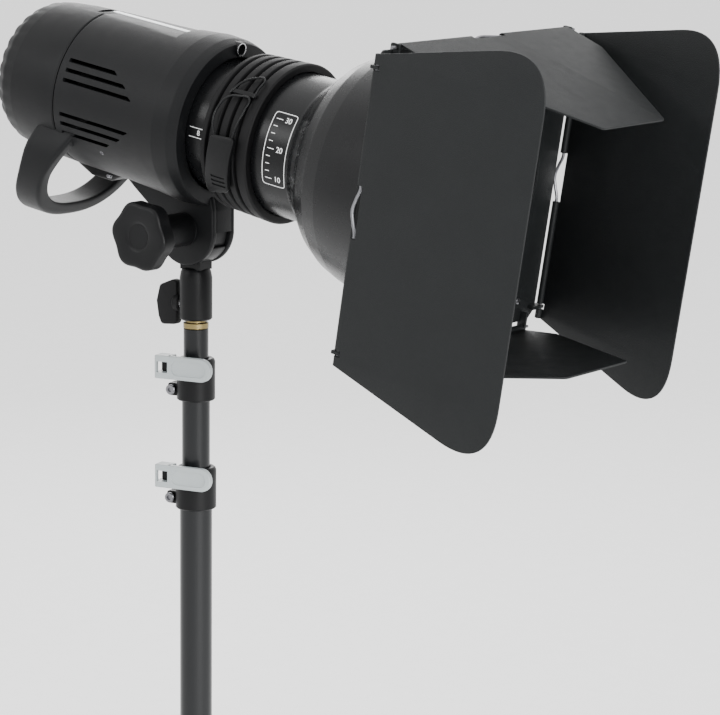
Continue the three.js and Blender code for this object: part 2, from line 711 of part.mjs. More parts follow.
function buildDoors() {
  piece(head, 'door_frame', doorFrame(), look.powder);
  const sideLug = framePlate.halfZ - framePlate.cut - lugThick;
  const endLug = endLeaf.half + lugThick / 2 + lugGap;
  const doors = [
    { name: 'near', size: sideLeaf, lug: sideLug, place: [0, -sideHinge, 0], turn: [0, 0, -leafAngle.near], roll: 90 },
    { name: 'far', size: sideLeaf, lug: sideLug, place: [0, sideHinge, 0], turn: [0, 0, -leafAngle.far], roll: -90 },
    { name: 'top', size: endLeaf, lug: endLug, place: [0, 0, topHinge], turn: [0, leafAngle.top, 0], roll: 0 },
    { name: 'bottom', size: endLeaf, lug: endLug, place: [0, 0, -bottomHinge], turn: [0, -leafAngle.bottom, 0], roll: 180 },
  ];
  for (const { name, size, lug, place, turn, roll } of doors) {
    const hinge = new THREE.Group();
    hinge.position.set(hingeS, place[1], place[2]);
    head.add(hinge);
    const swing = new THREE.Group();
    swing.rotation.set(0, turn[1] * DEG, turn[2] * DEG);
    hinge.add(swing);
    const flat = new THREE.Group();
    flat.rotation.x = roll * DEG;
    swing.add(flat);
    const fixed = new THREE.Group();
    fixed.rotation.x = roll * DEG;
    hinge.add(fixed);
    piece(flat, `door_leaf_${name}`, leaf(size, lug), look.powder);
    piece(fixed, `hinge_rod_${name}`, hingeRod(lug), look.silver);
  }
}

// ---- stand bracket and socket -------------------------------------------------------
function standBracket() {
  const wide = [[0, 0], ...arcPoints(0, 0, sectorRadius, -150, -30, 14)];
  const disc = rod('y', discRadius, -discHalf, discHalf, [0, 0, 0], 28);
  const sector = upright(wide, -discHalf, discHalf);
  const lift = pivotDrop;
  const socket = turnedZ([
    [socketBottom, socketRadius - 0.6], [socketBottom + 1, socketRadius], [socketTop - 8, socketRadius],
    [socketTop - 1, socketRadius - 2], [socketTop, socketRadius - 3], [socketTop, 0], [socketBottom, 0],
  ].map(([z, r]) => [z + lift, r]), 24);
  const neck = block(-10, 10, -discHalf, discHalf, socketTop + lift - 1, socketTop + lift + 8);
  const bore = rod('z', spigotRadius + gap, socketBottom - 1 + lift, -126 + lift, [0, 0, 0], 24);
  let body = union(disc, sector, neck, socket).subtract(bore);
  body = body.subtract(rod('y', boltRadius + slip, -20, 20, [0, 0, 0], 16));
  body = body.subtract(rod('x', 4 + gap, -30, 0, [0, 0, socketScrewZ + lift], 12));
  return body.translate([0, 0, headHeight - lift]);
}

function socketScrew() {
  const z = headHeight + socketScrewZ;
  const shaft = rod('x', 4, -socketRadius - 7, -spigotRadius - gap, [0, 0, z], 12);
  const wing = upright([
    [-17, -17], [-33, -18.5], [-36, -12], [-38, 0], [-34.5, 13], [-21, 18.5], [-17, 17],
  ], -3.5, 3.5).translate([0, 0, z]);
  const boss = rod('x', 7, -20, -socketRadius - 1, [0, 0, z], 14);
  return union(shaft, wing, boss);
}

function spigot() {
  const groove = socketScrewZ;
  return turnedZ([
    [-127, 0], [-127, spigotRadius - 1], [-128, spigotRadius], [groove + 6, spigotRadius],
    [groove + 5, spigotRadius - 1], [groove - 5, spigotRadius - 1], [groove - 6, spigotRadius],
    [flangeTop, spigotRadius], [flangeTop, topTubeRadius + 0.2], [flangeBottom, topTubeRadius + 0.2],
    [flangeBottom, topTubeRadius - tubeSkin - gap], [flangeBottom - 18, topTubeRadius - tubeSkin - gap],
    [flangeBottom - 18, 0],
  ], 24).translate([0, 0, headHeight]);
}

function stage(radius, top, length) {
  return turnedZ([
    [top, radius], [top - length, radius], [top - length, radius - tubeSkin], [top, radius - tubeSkin],
  ], 24);
}

// ---- lever clamps -------------------------------------------------------------------
function clampCollar(outerRadius, lowerRadius, upperRadius, top) {
  const shoulder = top - 6;
  const bottom = top - clampHeight;
  const midZ = top - clampLever.drop;
  const ring = turnedZ([
    [bottom, outerRadius], [top - 1, outerRadius], [top, outerRadius - 1], [top, upperRadius + slip],
    [shoulder, upperRadius + slip], [shoulder, lowerRadius + gap], [bottom, lowerRadius + gap],
  ], 24);
  const half = clampLever.fork / 2 - 0.5;
  const inside = rod('z', outerRadius - 1.5, bottom - 1, top + 1, [0, 0, 0], 24);
  const { x, y } = clampLever;
  let tongue = block(x, 0, y - 2.5, y + 3.4, midZ - half, midZ + half);
  tongue = tongue.add(rod('z', 3.4, midZ - half, midZ + half, [x, y, 0], 14));
  tongue = tongue.subtract(inside);
  tongue = tongue.subtract(rod('z', 2.6, midZ - 9, midZ + 9, [clampLever.x, clampLever.y, 0], 12));
  const earZ = bottom + 7;
  let ear = block(-outerRadius - 7.5, 0, -5, 6, earZ - 5, earZ + 5).subtract(inside);
  ear = ear.subtract(rod('y', 2.6, -20, 20, [-outerRadius - 3.8, 0, earZ], 12));
  return union(ring, tongue, ear);
}

function clampLeverBody(top) {
  const { x, y, cam: reach, front, plateY, thick, fork, drop } = clampLever;
  const z = top - drop;
  const half = clampLever.height / 2;
  const far = front - half;
  const plate = upright([
    [x + 3, -half], ...arcPoints(far, 0, half, -90, 90, 8), [x + 3, half],
  ], plateY - thick, plateY);
  const cam = block(x - reach, x + reach - 2, plateY - thick, y + 4, -half, half);
  const slot = block(x - reach - 2, x + reach, y - 4.6, y + 12, -fork / 2, fork / 2);
  const window = block(x - reach + 2, x + 5, plateY - thick - 1, y + 12, -fork / 2, fork / 2);
  const pin = rod('z', 2.2, -half + 1, half - 1, [x, y, 0], 10);
  return plate.add(cam).subtract(slot).subtract(window).add(pin).translate([0, 0, z]);
}

function clampBolt(outerRadius, top) {
  const z = top - clampHeight + 7;
  const x = -outerRadius - 3.8;
  const shank = rod('y', 2.2, -7, 8, [x, 0, z], 10);
  const cap = rod('y', 4, -8.4, -5 - gap, [x, 0, z], 12);
  const nut = rod('y', 4.2, 6 + gap, 9, [x, 0, z], 6);
  const hex = rod('y', 2, -9, -6.8, [x, 0, z], 6);
  return union(shank, cap, nut).subtract(hex);
}

function buildColumn() {
  const upperTop = headHeight + upperClampTop;
  const lowerTop = headHeight + lowerClampTop;
  piece(part, 'stand_bracket', standBracket(), look.darkShell);
  piece(part, 'socket_screw', socketScrew(), look.rubber);
  piece(part, 'spigot', spigot(), look.brass);
  piece(part, 'top_tube', stage(topTubeRadius, headHeight + flangeBottom - gap, topTubeLength), look.tube);
  piece(part, 'middle_tube', stage(midTubeRadius, upperTop - 6 - gap, midTubeLength), look.tube);
  const baseTop = lowerTop - 6 - gap;
  piece(part, 'base_tube', stage(baseTubeRadius, baseTop, baseTop - cupFloor - gap), look.tube);
  const clamps = [
    { name: 'upper', outer: midTubeRadius + 4, lower: midTubeRadius, upper: topTubeRadius, top: upperTop },
    { name: 'lower', outer: baseTubeRadius + 3.25, lower: baseTubeRadius, upper: midTubeRadius, top: lowerTop },
  ];
  for (const { name, outer, lower, upper, top } of clamps) {
    const turned = new THREE.Group();
    turned.rotation.z = clampTurn * DEG;
    part.add(turned);
    piece(turned, `${name}_clamp`, clampCollar(outer, lower, upper, top), look.rubber);
    piece(turned, `${name}_clamp_lever`, clampLeverBody(top), look.lever);
    piece(turned, `${name}_clamp_bolt`, clampBolt(outer, top), look.silver);
  }
}

// ---- legs ---------------------------------------------------------------------------
function legCollar() {
  const bottom = legPivotZ - collarHeight / 2;
  const top = bottom + collarHeight;
  const bore = baseTubeRadius + slip;
  let body = turnedZ([[bottom, slideRadius], [top - 1, slideRadius], [top, slideRadius - 1],
    [top, bore], [bottom, bore]], 24);
  const inside = rod('z', slideRadius - 1.5, bottom - 1, top + 1, [0, 0, 0], 24);
  for (const azimuth of legAzimuths) {
    const near = eyeHalf + slip;
    for (const side of [-1, 1]) {
      const [y0, y1] = side > 0 ? [near, near + earThick] : [-near - earThick, -near];
      const ear = upright([
        [0, legPivotZ - 12], [legPivotRadius - 4, legPivotZ - 12],
        ...arcPoints(legPivotRadius, legPivotZ, 8, -90, 90, 6), [0, legPivotZ + 14],
      ], y0, y1).subtract(inside);
      body = body.add(ear.rotate([0, 0, azimuth]));
    }
    const pin = rod('y', pinRadius, -near - 1, near + 1, [legPivotRadius, 0, legPivotZ], 10);
    body = body.add(pin.rotate([0, 0, azimuth]));
  }
  const knobAzimuth = legAzimuths[0] - 60;
  const boss = rod('x', 8, 0, slideRadius + 5, [0, 0, legPivotZ], 14).subtract(inside);
  const hole = rod('x', 3 + gap, 0, slideRadius + 9, [0, 0, legPivotZ], 12);
  return body.add(boss.rotate([0, 0, knobAzimuth])).subtract(hole.rotate([0, 0, knobAzimuth]));
}

function legKnob() {
  const start = baseTubeRadius + gap;
  const face = slideRadius + 5 + gap;
  const shaft = rod('x', 3, start, face + 2, [0, 0, 0], 12);
  const points = [];
  for (let i = 0; i < 40; i += 1) {
    const angle = 2 * Math.PI * i / 40;
    const radius = 13 + Math.cos(5 * angle);
    points.push([radius * Math.cos(angle), radius * Math.sin(angle)]);
  }
  const grip = crosswise(points, face, face + 17);
  return shaft.add(grip).translate([0, 0, legPivotZ]).rotate([0, 0, legAzimuths[0] - 60]);
}

function braceCollar() {
  const bore = baseTubeRadius + gap;
  let body = turnedZ([[0, 0], [0, cupRadius - 1], [1, cupRadius], [cupHeight, cupRadius],
    [cupHeight, bore], [cupFloor, bore], [cupFloor, 0]], 24);
  const inside = rod('z', cupRadius - 1.5, -1, cupHeight + 1, [0, 0, 0], 24);
  for (const azimuth of legAzimuths) {
    const lug = upright([
      [0, bracePivotZ - 10], [bracePivotRadius, bracePivotZ - 6],
      ...arcPoints(bracePivotRadius, bracePivotZ, 5.5, -80, 80, 5), [0, bracePivotZ + 9],
    ], -lugHalf, lugHalf).subtract(inside);
    body = body.add(lug.rotate([0, 0, azimuth]));
  }
  return body;
}

// A leg hangs from its pivot at the local origin, down local -Z.
function legBody() {
  const tube = rod('z', legRadius, -legLength + 6, -15, [0, 0, 0], 14);
  const eye = block(-6, 6, -eyeHalf, eyeHalf, -22, 5.5);
  const lug = upright([
    [0, -braceReach + 14], [-braceLug, -braceReach + 5], ...arcPoints(-braceLug, -braceReach, 5, 100, 260, 5),
    [0, -braceReach - 14],
  ], -lugHalf, lugHalf);
  let body = union(tube, eye, lug);
  body = body.subtract(rod('y', pinRadius + gap, -9, 9, [0, 0, 0], 12));
  return body.subtract(rod('y', pinRadius + gap, -9, 9, [-braceLug, 0, -braceReach], 12));
}

function braceBody() {
  const y0 = lugHalf + gap;
  const points = [...arcPoints(0, 0, braceHalf, 0, 180, 6), ...arcPoints(0, -braceReach, braceHalf, 180, 360, 6)];
  const bar = upright(points, y0, y0 + braceThick);
  const pin = rod('y', pinRadius, -lugHalf - 1.5, y0 + 1, [0, 0, 0], 10);
  const rivet = rod('y', pinRadius + 1.4, -lugHalf - 2.2, -lugHalf - gap, [0, 0, 0], 10);
  return union(bar, pin, rivet);
}

function footBody() {
  const bore = legRadius + gap;
  return turnedZ([
    [-legLength - 9, 0], [-legLength - 9, 6], [-legLength - 5, 10], [-legLength + 30, 10.6],
    [-legLength + 30, bore], [-legLength + 6 - gap, bore], [-legLength + 6 - gap, 0],
  ], 16);
}

function buildLegs() {
  piece(part, 'leg_collar', legCollar(), look.rubber);
  piece(part, 'leg_knob', legKnob(), look.darkShell);
  piece(part, 'brace_collar', braceCollar(), look.rubber);
  legAzimuths.forEach((azimuth, i) => {
    const around = new THREE.Group();
    around.rotation.z = azimuth * DEG;
    part.add(around);
    const leg = new THREE.Group();
    leg.position.set(legPivotRadius, 0, legPivotZ);
    leg.rotation.y = -spread;
    around.add(leg);
    const brace = new THREE.Group();
    brace.position.set(attachX, 0, attachZ);
    brace.rotation.y = braceLean;
    around.add(brace);
    piece(leg, `leg_${i + 1}`, legBody(), look.tube);
    piece(brace, `brace_${i + 1}`, braceBody(), look.tube);
    piece(leg, `foot_${i + 1}`, flatFoot(), look.rubber);
  });
}

// The foot's sole is cut level with the floor when the legs are spread.
function flatFoot() {
  const below = block(-900, 900, -60, 60, -400, floorZ);
  const toLeg = below.translate([-legPivotRadius, 0, -legPivotZ]).rotate([0, legSpread, 0]);
  return footBody().subtract(toLeg);
}

buildHead();
buildReflector();
buildDoors();
buildColumn();
buildLegs();

export default part;
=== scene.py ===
"""Studio flash head with a zoom reflector and barn doors on a light stand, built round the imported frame."""

import json
from math import copysign, cos, pi, radians, sin, tan

import bmesh
import bpy
from mathutils import Matrix, Vector


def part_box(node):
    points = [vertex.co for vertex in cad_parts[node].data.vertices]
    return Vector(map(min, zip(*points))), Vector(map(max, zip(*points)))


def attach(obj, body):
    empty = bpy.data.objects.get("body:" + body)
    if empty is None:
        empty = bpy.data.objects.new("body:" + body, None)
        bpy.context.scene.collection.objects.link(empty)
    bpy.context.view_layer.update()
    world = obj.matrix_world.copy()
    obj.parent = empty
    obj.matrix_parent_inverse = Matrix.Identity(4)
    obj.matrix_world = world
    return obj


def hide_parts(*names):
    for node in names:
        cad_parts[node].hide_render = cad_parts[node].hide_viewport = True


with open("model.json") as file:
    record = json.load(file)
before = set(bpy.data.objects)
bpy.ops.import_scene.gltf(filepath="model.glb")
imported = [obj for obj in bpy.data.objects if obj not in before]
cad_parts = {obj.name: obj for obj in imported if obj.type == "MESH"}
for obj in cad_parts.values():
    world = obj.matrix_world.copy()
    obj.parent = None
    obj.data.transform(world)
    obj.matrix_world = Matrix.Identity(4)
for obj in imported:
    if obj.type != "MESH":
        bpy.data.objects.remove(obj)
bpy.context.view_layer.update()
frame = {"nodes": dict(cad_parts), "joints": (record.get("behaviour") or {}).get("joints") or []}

MM = 0.001
JOINTS = {joint["name"]: joint for joint in frame["joints"]}
FINE = 144                    # segments round the large turned pieces
MEDIUM = 64
SMALL = 32
GLYPH_DEPTH = 0.06

# ---- frames
HINGE_S = 254.1               # plane of the leaf hinges, along the head axis
AHEAD = Vector(JOINTS["barn_frame_turn"]["axis"])
ACROSS = Vector((0, 1, 0))
UPWARD = AHEAD.cross(ACROSS)
CENTRE = Vector(JOINTS["barn_frame_turn"]["pos_m"]) - AHEAD * HINGE_S * MM
HEAD = Matrix.Translation(CENTRE) @ Matrix((AHEAD, ACROSS, UPWARD)).transposed().to_4x4()
HEAD_Z = CENTRE.z / MM        # head axis above the column's lower end
COLUMN = Matrix.Rotation(-pi / 2, 4, "Y")
PIVOT = Vector(JOINTS["head_tilt"]["pos_m"]) / MM
AS_GIVEN = Matrix.Identity(4)  # the place of a mesh that is made in the row frame


def turn(axis, degrees):
    return Matrix.Rotation(radians(degrees), 4, axis)


def shift(x, y, z):
    return Matrix.Translation((x, y, z))


# ---- meshes
def linked(name, data):
    """A new object in the scene."""
    obj = bpy.data.objects.new(name, data)
    bpy.context.scene.collection.objects.link(obj)
    return obj


def evaluated(obj):
    """The mesh of an object as its modifiers or its curve settings make it."""
    return bpy.data.meshes.new_from_object(obj.evaluated_get(bpy.context.evaluated_depsgraph_get()))


def from_curve(curve):
    carrier = linked("carrier", curve)
    data = evaluated(carrier)
    bpy.data.objects.remove(carrier)
    mesh = bmesh.new()
    mesh.from_mesh(data)
    return mesh


def wrap_up(name, mesh, place, material, body, stands_for=(), smooth=35, bevel=0.0):
    """Puts a mesh in millimetres in place, gives it its material and body, and hides the CAD nodes it stands
    for.
    """
    mesh.transform(place_in_metres(place))
    obj = linked(name, mesh)
    if material is not None:
        obj.data.materials.clear()
        obj.data.materials.append(material)
    soften(obj, smooth, bevel)
    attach(obj, body)
    if stands_for:
        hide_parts(*stands_for)
    return obj


def on_head(name, mesh, material, stands_for=(), smooth=35, bevel=0.0):
    """A piece of the flash head, given in head coordinates."""
    return wrap_up(name, mesh, head_place(), material, "flash_head", stands_for, smooth, bevel)


def place_in_metres(place):
    in_metres = place.copy()
    in_metres.translation = place.translation * MM
    return in_metres @ Matrix.Scale(MM, 4)


def head_place(local=AS_GIVEN):
    """A place given in head coordinates and millimetres."""
    whole = HEAD.copy()
    whole.translation = HEAD.translation / MM
    return whole @ local


def soften(obj, smooth, bevel):
    mesh = obj.data
    mesh.polygons.foreach_set("use_smooth", [True] * len(mesh.polygons))
    mesh.set_sharp_from_angle(angle=radians(smooth))
    if bevel > 0:
        modifier = obj.modifiers.new("edges", "BEVEL")
        modifier.width = bevel * MM
        modifier.segments = 2
        modifier.limit_method = "ANGLE"
        modifier.angle_limit = radians(smooth)
        modifier.harden_normals = True


def rounding(start, corner, end, steps):
    """Points of the curve that takes off a corner."""
    stations = [k / steps for k in range(steps + 1)]
    return [start * (1 - t) ** 2 + corner * 2 * t * (1 - t) + end * t * t for t in stations]


def fillet(points, radius, closed=True, steps=4):
    """The outline with each corner rounded, as far as its edges allow."""
    result = []
    count = len(points)
    for i, point in enumerate(points):
        corner = Vector(point)
        if not closed and i in (0, count - 1):
            result.append(tuple(corner))
            continue
        before = Vector(points[i - 1]) - corner
        after = Vector(points[(i + 1) % count]) - corner
        if before.length < 1e-6 or after.length < 1e-6:
            continue
        between = before.angle(after)
        if between > radians(176):
            result.append(tuple(corner))
            continue
        reach = min(radius / tan(between / 2), 0.46 * before.length, 0.46 * after.length)
        start = corner + before.normalized() * reach
        end = corner + after.normalized() * reach
        result += [tuple(spot) for spot in rounding(start, corner, end, steps)]
    return result


def rectangle(x0, x1, y0, y1):
    return [(x0, y0), (x1, y0), (x1, y1), (x0, y1)]


def arc(cx, cy, radius, start, end, steps=16):
    angles = [radians(start + (end - start) * i / steps) for i in range(steps + 1)]
    return [(cx + radius * cos(a), cy + radius * sin(a)) for a in angles]


def hexagon(cx, cy, radius):
    return arc(cx, cy, radius, 0, 300, 5)


def skin(mesh, rings):
    """Faces between each ring of vertices and the next."""
    for ring, following in zip(rings, rings[1:]):
        for k in range(len(ring)):
            j = (k + 1) % len(ring)
            mesh.faces.new((ring[k], ring[j], following[j], following[k]))


def lathe(profile, segments=FINE, shape=None, on_axis=False):
    """A mesh turned about X from (x, radius) points; closed round unless its ends lie on the axis."""
    mesh = bmesh.new()
    rings = []
    for along, radius in profile:
        ring = []
        for k in range(segments):
            angle = 2 * pi * k / segments
            x, r = shape(along, radius, angle) if shape else (along, radius)
            ring.append(mesh.verts.new((x, r * cos(angle), r * sin(angle))))
        rings.append(ring)
    skin(mesh, rings if on_axis else rings + rings[:1])
    return tidy_mesh(mesh)


def tidy_mesh(mesh):
    bmesh.ops.remove_doubles(mesh, verts=mesh.verts, dist=1e-4)
    bmesh.ops.dissolve_degenerate(mesh, edges=mesh.edges, dist=1e-5)
    bmesh.ops.recalc_face_normals(mesh, faces=mesh.faces)
    data = bpy.data.meshes.new("made")
    mesh.to_mesh(data)
    mesh.free()
    return data


def plate(outline, low, high, edge=0.4, holes=()):
    """A flat plate in X and Y between two heights, with rounded edges and holes."""
    curve = bpy.data.curves.new("plate", "CURVE")
    curve.dimensions = "2D"
    curve.fill_mode = "BOTH"
    curve.extrude = max((high - low) / 2 - edge, 0.01)
    curve.bevel_depth = edge
    curve.bevel_resolution = 2
    curve.offset = -edge
    for loop in (outline, *holes):
        spline = curve.splines.new("POLY")
        spline.points.add(len(loop) - 1)
        for point, (x, y) in zip(spline.points, loop):
            point.co = (x, y, 0, 1)
        spline.use_cyclic_u = True
    mesh = from_curve(curve)
    bmesh.ops.translate(mesh, verts=mesh.verts, vec=(0, 0, (low + high) / 2))
    return tidy_mesh(mesh)


def upright(outline, y0, y1, edge=0.4, holes=()):
    """A plate whose outline is in X and Z, between two stations on Y."""
    data = plate(outline, -y1, -y0, edge, holes)
    data.transform(turn("X", 90))
    return data


def crosswise(outline, x0, x1, edge=0.4, holes=()):
    """A plate whose outline is in Y and Z, between two stations on X."""
    data = plate(outline, x0, x1, edge, holes)
    data.transform(turn("X", 90) @ turn("Y", 90))
    return data


def bar(points, radius, resolution=6):
    """A round wire or tube that bends smoothly through a list of points, with closed ends."""
    curve = bpy.data.curves.new("bar", "CURVE")
    curve.dimensions = "3D"
    curve.bevel_depth = radius
    curve.bevel_resolution = resolution
    curve.use_fill_caps = True
    curve.resolution_u = 8
    spline = curve.splines.new("BEZIER")
    spline.bezier_points.add(len(points) - 1)
    for knot, point in zip(spline.bezier_points, points):
        knot.co = point
        knot.handle_left_type = knot.handle_right_type = "AUTO"
    return tidy_mesh(from_curve(curve))


def joined(*meshes):
    whole = bmesh.new()
    for data in meshes:
        whole.from_mesh(data)
    data = bpy.data.meshes.new("joined")
    whole.to_mesh(data)
    whole.free()
    return data


def moved(data, place):
    data.transform(place)
    return data


def box_mesh(x0, x1, y0, y1, z0, z1):
    return plate(rectangle(x0, x1, y0, y1), z0, z1, 0.01)


def cut(data, *cutters):
    """The mesh with the cutters' space taken out of it."""
    target = linked("target", data)
    helpers = []
    for cutter in cutters:
        helper = linked("cutter", cutter)
        helpers.append(helper)
        modifier = target.modifiers.new("cut", "BOOLEAN")
        modifier.operation = "DIFFERENCE"
        modifier.solver = "EXACT"
        modifier.object = helper
    result = evaluated(target)
    for helper in (target, *helpers):
        bpy.data.objects.remove(helper)
    return result


def rod(axis, radius, start, end, centre=(0, 0, 0), edge=0.3, segments=SMALL):
    """A round bar with softened ends along X, Y or Z."""
    low, high = min(start, end), max(start, end)
    soft = min(edge, radius * 0.4, (high - low) * 0.4)
    profile = [(low, 0), (low, radius - soft), (low + soft, radius),
               (high - soft, radius), (high, radius - soft), (high, 0)]
    data = lathe(profile, segments, on_axis=True)
    if axis == "Y":
        data.transform(turn("Z", 90))
    if axis == "Z":
        data.transform(turn("Y", -90))
    return moved(data, shift(*centre))


def bend_round_axis(data, radius, step=1.5):
    """Wraps a flat mesh round the X axis, from -Y upward: x stays, y is arc length and z is height."""
    mesh = bmesh.new()
    mesh.from_mesh(data)
    ys = [vertex.co.y for vertex in mesh.verts]
    y = min(ys) + step
    while y < max(ys):
        everything = mesh.verts[:] + mesh.edges[:] + mesh.faces[:]
        bmesh.ops.bisect_plane(mesh, geom=everything, plane_co=(0, y, 0), plane_no=(0, 1, 0))
        y += step
    for vertex in mesh.verts:
        angle = vertex.co.y / radius
        reach = radius + vertex.co.z
        vertex.co = (vertex.co.x, -reach * cos(angle), reach * sin(angle))
    return tidy_mesh(mesh)


def glyphs(text, size):
    """Generic digits as a thin flat mesh, centred on the origin."""
    curve = bpy.data.curves.new("digits", "FONT")
    curve.body = text
    curve.size = size
    curve.extrude = GLYPH_DEPTH
    curve.align_x = "CENTER"
    curve.align_y = "CENTER"
    return tidy_mesh(from_curve(curve))


# ---- materials
MOTTLE_SCALE = 35.0
PATCH_SCALE = 120.0


def surface(name, colour, rough, metal=0.0, grain=900.0, relief=0.1, mottling=0.12,
            rough_spread=0.06, cells=False, streaks=None, coat=0.0, gloss=0.5):
    """A procedural finish: mottled colour, uneven roughness and a fine relief."""
    material = bpy.data.materials.new(name)
    material.use_nodes = True
    tree = material.node_tree
    shader = tree.nodes["Principled BSDF"]
    shader.inputs["Metallic"].default_value = metal
    shader.inputs["Coat Weight"].default_value = coat
    shader.inputs["Specular IOR Level"].default_value = gloss
    coordinates = tree.nodes.new("ShaderNodeTexCoord")
    source = coordinates.outputs["Object"]
    if streaks is not None:
        mapping = tree.nodes.new("ShaderNodeMapping")
        mapping.inputs["Scale"].default_value = streaks
        tree.links.new(source, mapping.inputs["Vector"])
        source = mapping.outputs["Vector"]
    broad = noise(tree, source, MOTTLE_SCALE, 3.0)
    ramp = tree.nodes.new("ShaderNodeValToRGB")
    dark = tuple(c * (1 - mottling) for c in colour)
    light = tuple(min(1.0, c * (1 + mottling)) for c in colour)
    ramp.color_ramp.elements[0].position = 0.3
    ramp.color_ramp.elements[0].color = (*dark, 1)
    ramp.color_ramp.elements[1].position = 0.7
    ramp.color_ramp.elements[1].color = (*light, 1)
    tree.links.new(broad, ramp.inputs["Fac"])
    tree.links.new(ramp.outputs["Color"], shader.inputs["Base Color"])
    patches = noise(tree, source, PATCH_SCALE, 4.0)
    spread = tree.nodes.new("ShaderNodeMapRange")
    spread.inputs["To Min"].default_value = max(0.02, rough - rough_spread)
    spread.inputs["To Max"].default_value = min(1.0, rough + rough_spread)
    tree.links.new(patches, spread.inputs["Value"])
    tree.links.new(spread.outputs["Result"], shader.inputs["Roughness"])
    if cells:
        texture = tree.nodes.new("ShaderNodeTexVoronoi")
        texture.feature = "SMOOTH_F1"
        texture.inputs["Scale"].default_value = grain
        tree.links.new(source, texture.inputs["Vector"])
        height = texture.outputs["Distance"]
    else:
        height = noise(tree, source, grain, 2.0)
    bump = tree.nodes.new("ShaderNodeBump")
    bump.inputs["Strength"].default_value = relief
    bump.inputs["Distance"].default_value = MM
    tree.links.new(height, bump.inputs["Height"])
    tree.links.new(bump.outputs["Normal"], shader.inputs["Normal"])
    return material


def noise(tree, source, scale, detail):
    texture = tree.nodes.new("ShaderNodeTexNoise")
    texture.inputs["Scale"].default_value = scale
    texture.inputs["Detail"].default_value = detail
    tree.links.new(source, texture.inputs["Vector"])
    return texture.outputs["Fac"]


def glassy(name, colour, rough, transmission):
    material = surface(name, colour, rough, grain=60.0, relief=0.02, mottling=0.02, rough_spread=0.02)
    shader = material.node_tree.nodes["Principled BSDF"]
    shader.inputs["Transmission Weight"].default_value = transmission
    shader.inputs["IOR"].default_value = 1.45
    return material


SHELL = surface("shell_plastic", (0.0030, 0.0032, 0.0036), 0.46, grain=1500.0, relief=0.16, gloss=0.13)
DARK = surface("dark_plastic", (0.0030, 0.0031, 0.0034), 0.40, grain=1100.0, relief=0.10, gloss=0.13)
SATIN = surface("satin_black", (0.0034, 0.0036, 0.0040), 0.28, grain=1800.0, relief=0.05, gloss=0.16)
RUBBER = surface("black_rubber", (0.0030, 0.0030, 0.0033), 0.55, grain=800.0, relief=0.12, gloss=0.12)
POWDER = surface("powder_coat", (0.0058, 0.0065, 0.0068), 0.50, grain=1300.0, relief=0.30,
                 mottling=0.06, gloss=0.14)
SILVER = surface("polished_steel", (0.62, 0.62, 0.63), 0.26, metal=1.0, grain=400.0, relief=0.03)
DULL = surface("dull_steel", (0.16, 0.16, 0.17), 0.34, metal=1.0, grain=400.0, relief=0.05)
HAMMERED = surface("hammered_silver", (0.72, 0.73, 0.74), 0.26, metal=1.0, grain=260.0, relief=0.55,
                   cells=True)
BRASS = surface("brass", (0.20, 0.155, 0.07), 0.32, metal=1.0, grain=500.0, relief=0.04)
TUBE = surface("anodised_tube", (0.0045, 0.0050, 0.0056), 0.24, grain=900.0, relief=0.04, gloss=0.24,
               streaks=(1.0, 1.0, 0.08))
LEVER = surface("light_grey_plastic", (0.26, 0.285, 0.29), 0.36, grain=900.0, relief=0.06, mottling=0.04)
TRIM = surface("light_trim", (0.70, 0.72, 0.73), 0.32, grain=700.0, relief=0.03, mottling=0.03)
MARKING = surface("white_marking", (0.78, 0.79, 0.79), 0.5, grain=900.0, relief=0.04, mottling=0.03)
BOARD = surface("circuit_board", (0.03, 0.12, 0.05), 0.45, grain=500.0, relief=0.10)
SCREEN = surface("display", (0.008, 0.012, 0.018), 0.10, grain=300.0, relief=0.01, coat=0.5)
GLASS = glassy("clear_glass", (0.93, 0.95, 0.95), 0.06, 0.95)
FROSTED = glassy("frosted_glass", (0.92, 0.91, 0.88), 0.35, 0.6)


# ---- lamp housing
SEAM = -93.0
REAR = -165.0
RIM = 34.5
BULKHEAD = 12.0
HOUSING_R = 61.8
NOSE_R = 66.4
RIM_R = 62.8
WALL = 3.0
GROOVE = 0.5
VENT_REAR = -85.5
VENT_HALF = 1.5
VENT_SLANT = 1.75
VENTS = ((28.2, -36.5), (20.8, -23.5), (13.2, -15.0), (-13.6, -15.0), (-21.0, -23.5), (-28.6, -36.5))
TRIM_REAR = -98.0
TRIM_FRONT = -13.0
TRIM_SIDES = (2.6, 8.8)       # the strip lies a little towards the far side
TOP_FLAT = 60.2
TRIM_THICK = 1.2
LIP_R = 51.5
LIP_DEPTH = 6.0
CHANNEL_R = RIM_R - 4.8
UMBRELLA_V = 59.0
UMBRELLA_R = 5.5
UMBRELLA_BORE = 4.1
UMBRELLA_REAR = 3.0
UMBRELLA_FRONT = 36.5
SCALLOPS = 28                 # grip lobes round the rear edge
SCALLOP_START = -146.0
SCALLOP_RUN = 12.0
SCALLOP_DEPTH = 1.3
SCALLOP_INNER = 46.0
PANEL_R = 40.3


def vent_cutters():
    cutters = []
    for v, front in VENTS:
        slant = VENT_SLANT * VENT_HALF * (1 if v > 0 else -1)
        outline = [(VENT_REAR, v - VENT_HALF), (front + slant, v - VENT_HALF),
                   (front - slant, v + VENT_HALF), (VENT_REAR, v + VENT_HALF)]
        cutters.append(upright(fillet(outline, 0.7, steps=3), -80, 80, 0.01))
    return cutters


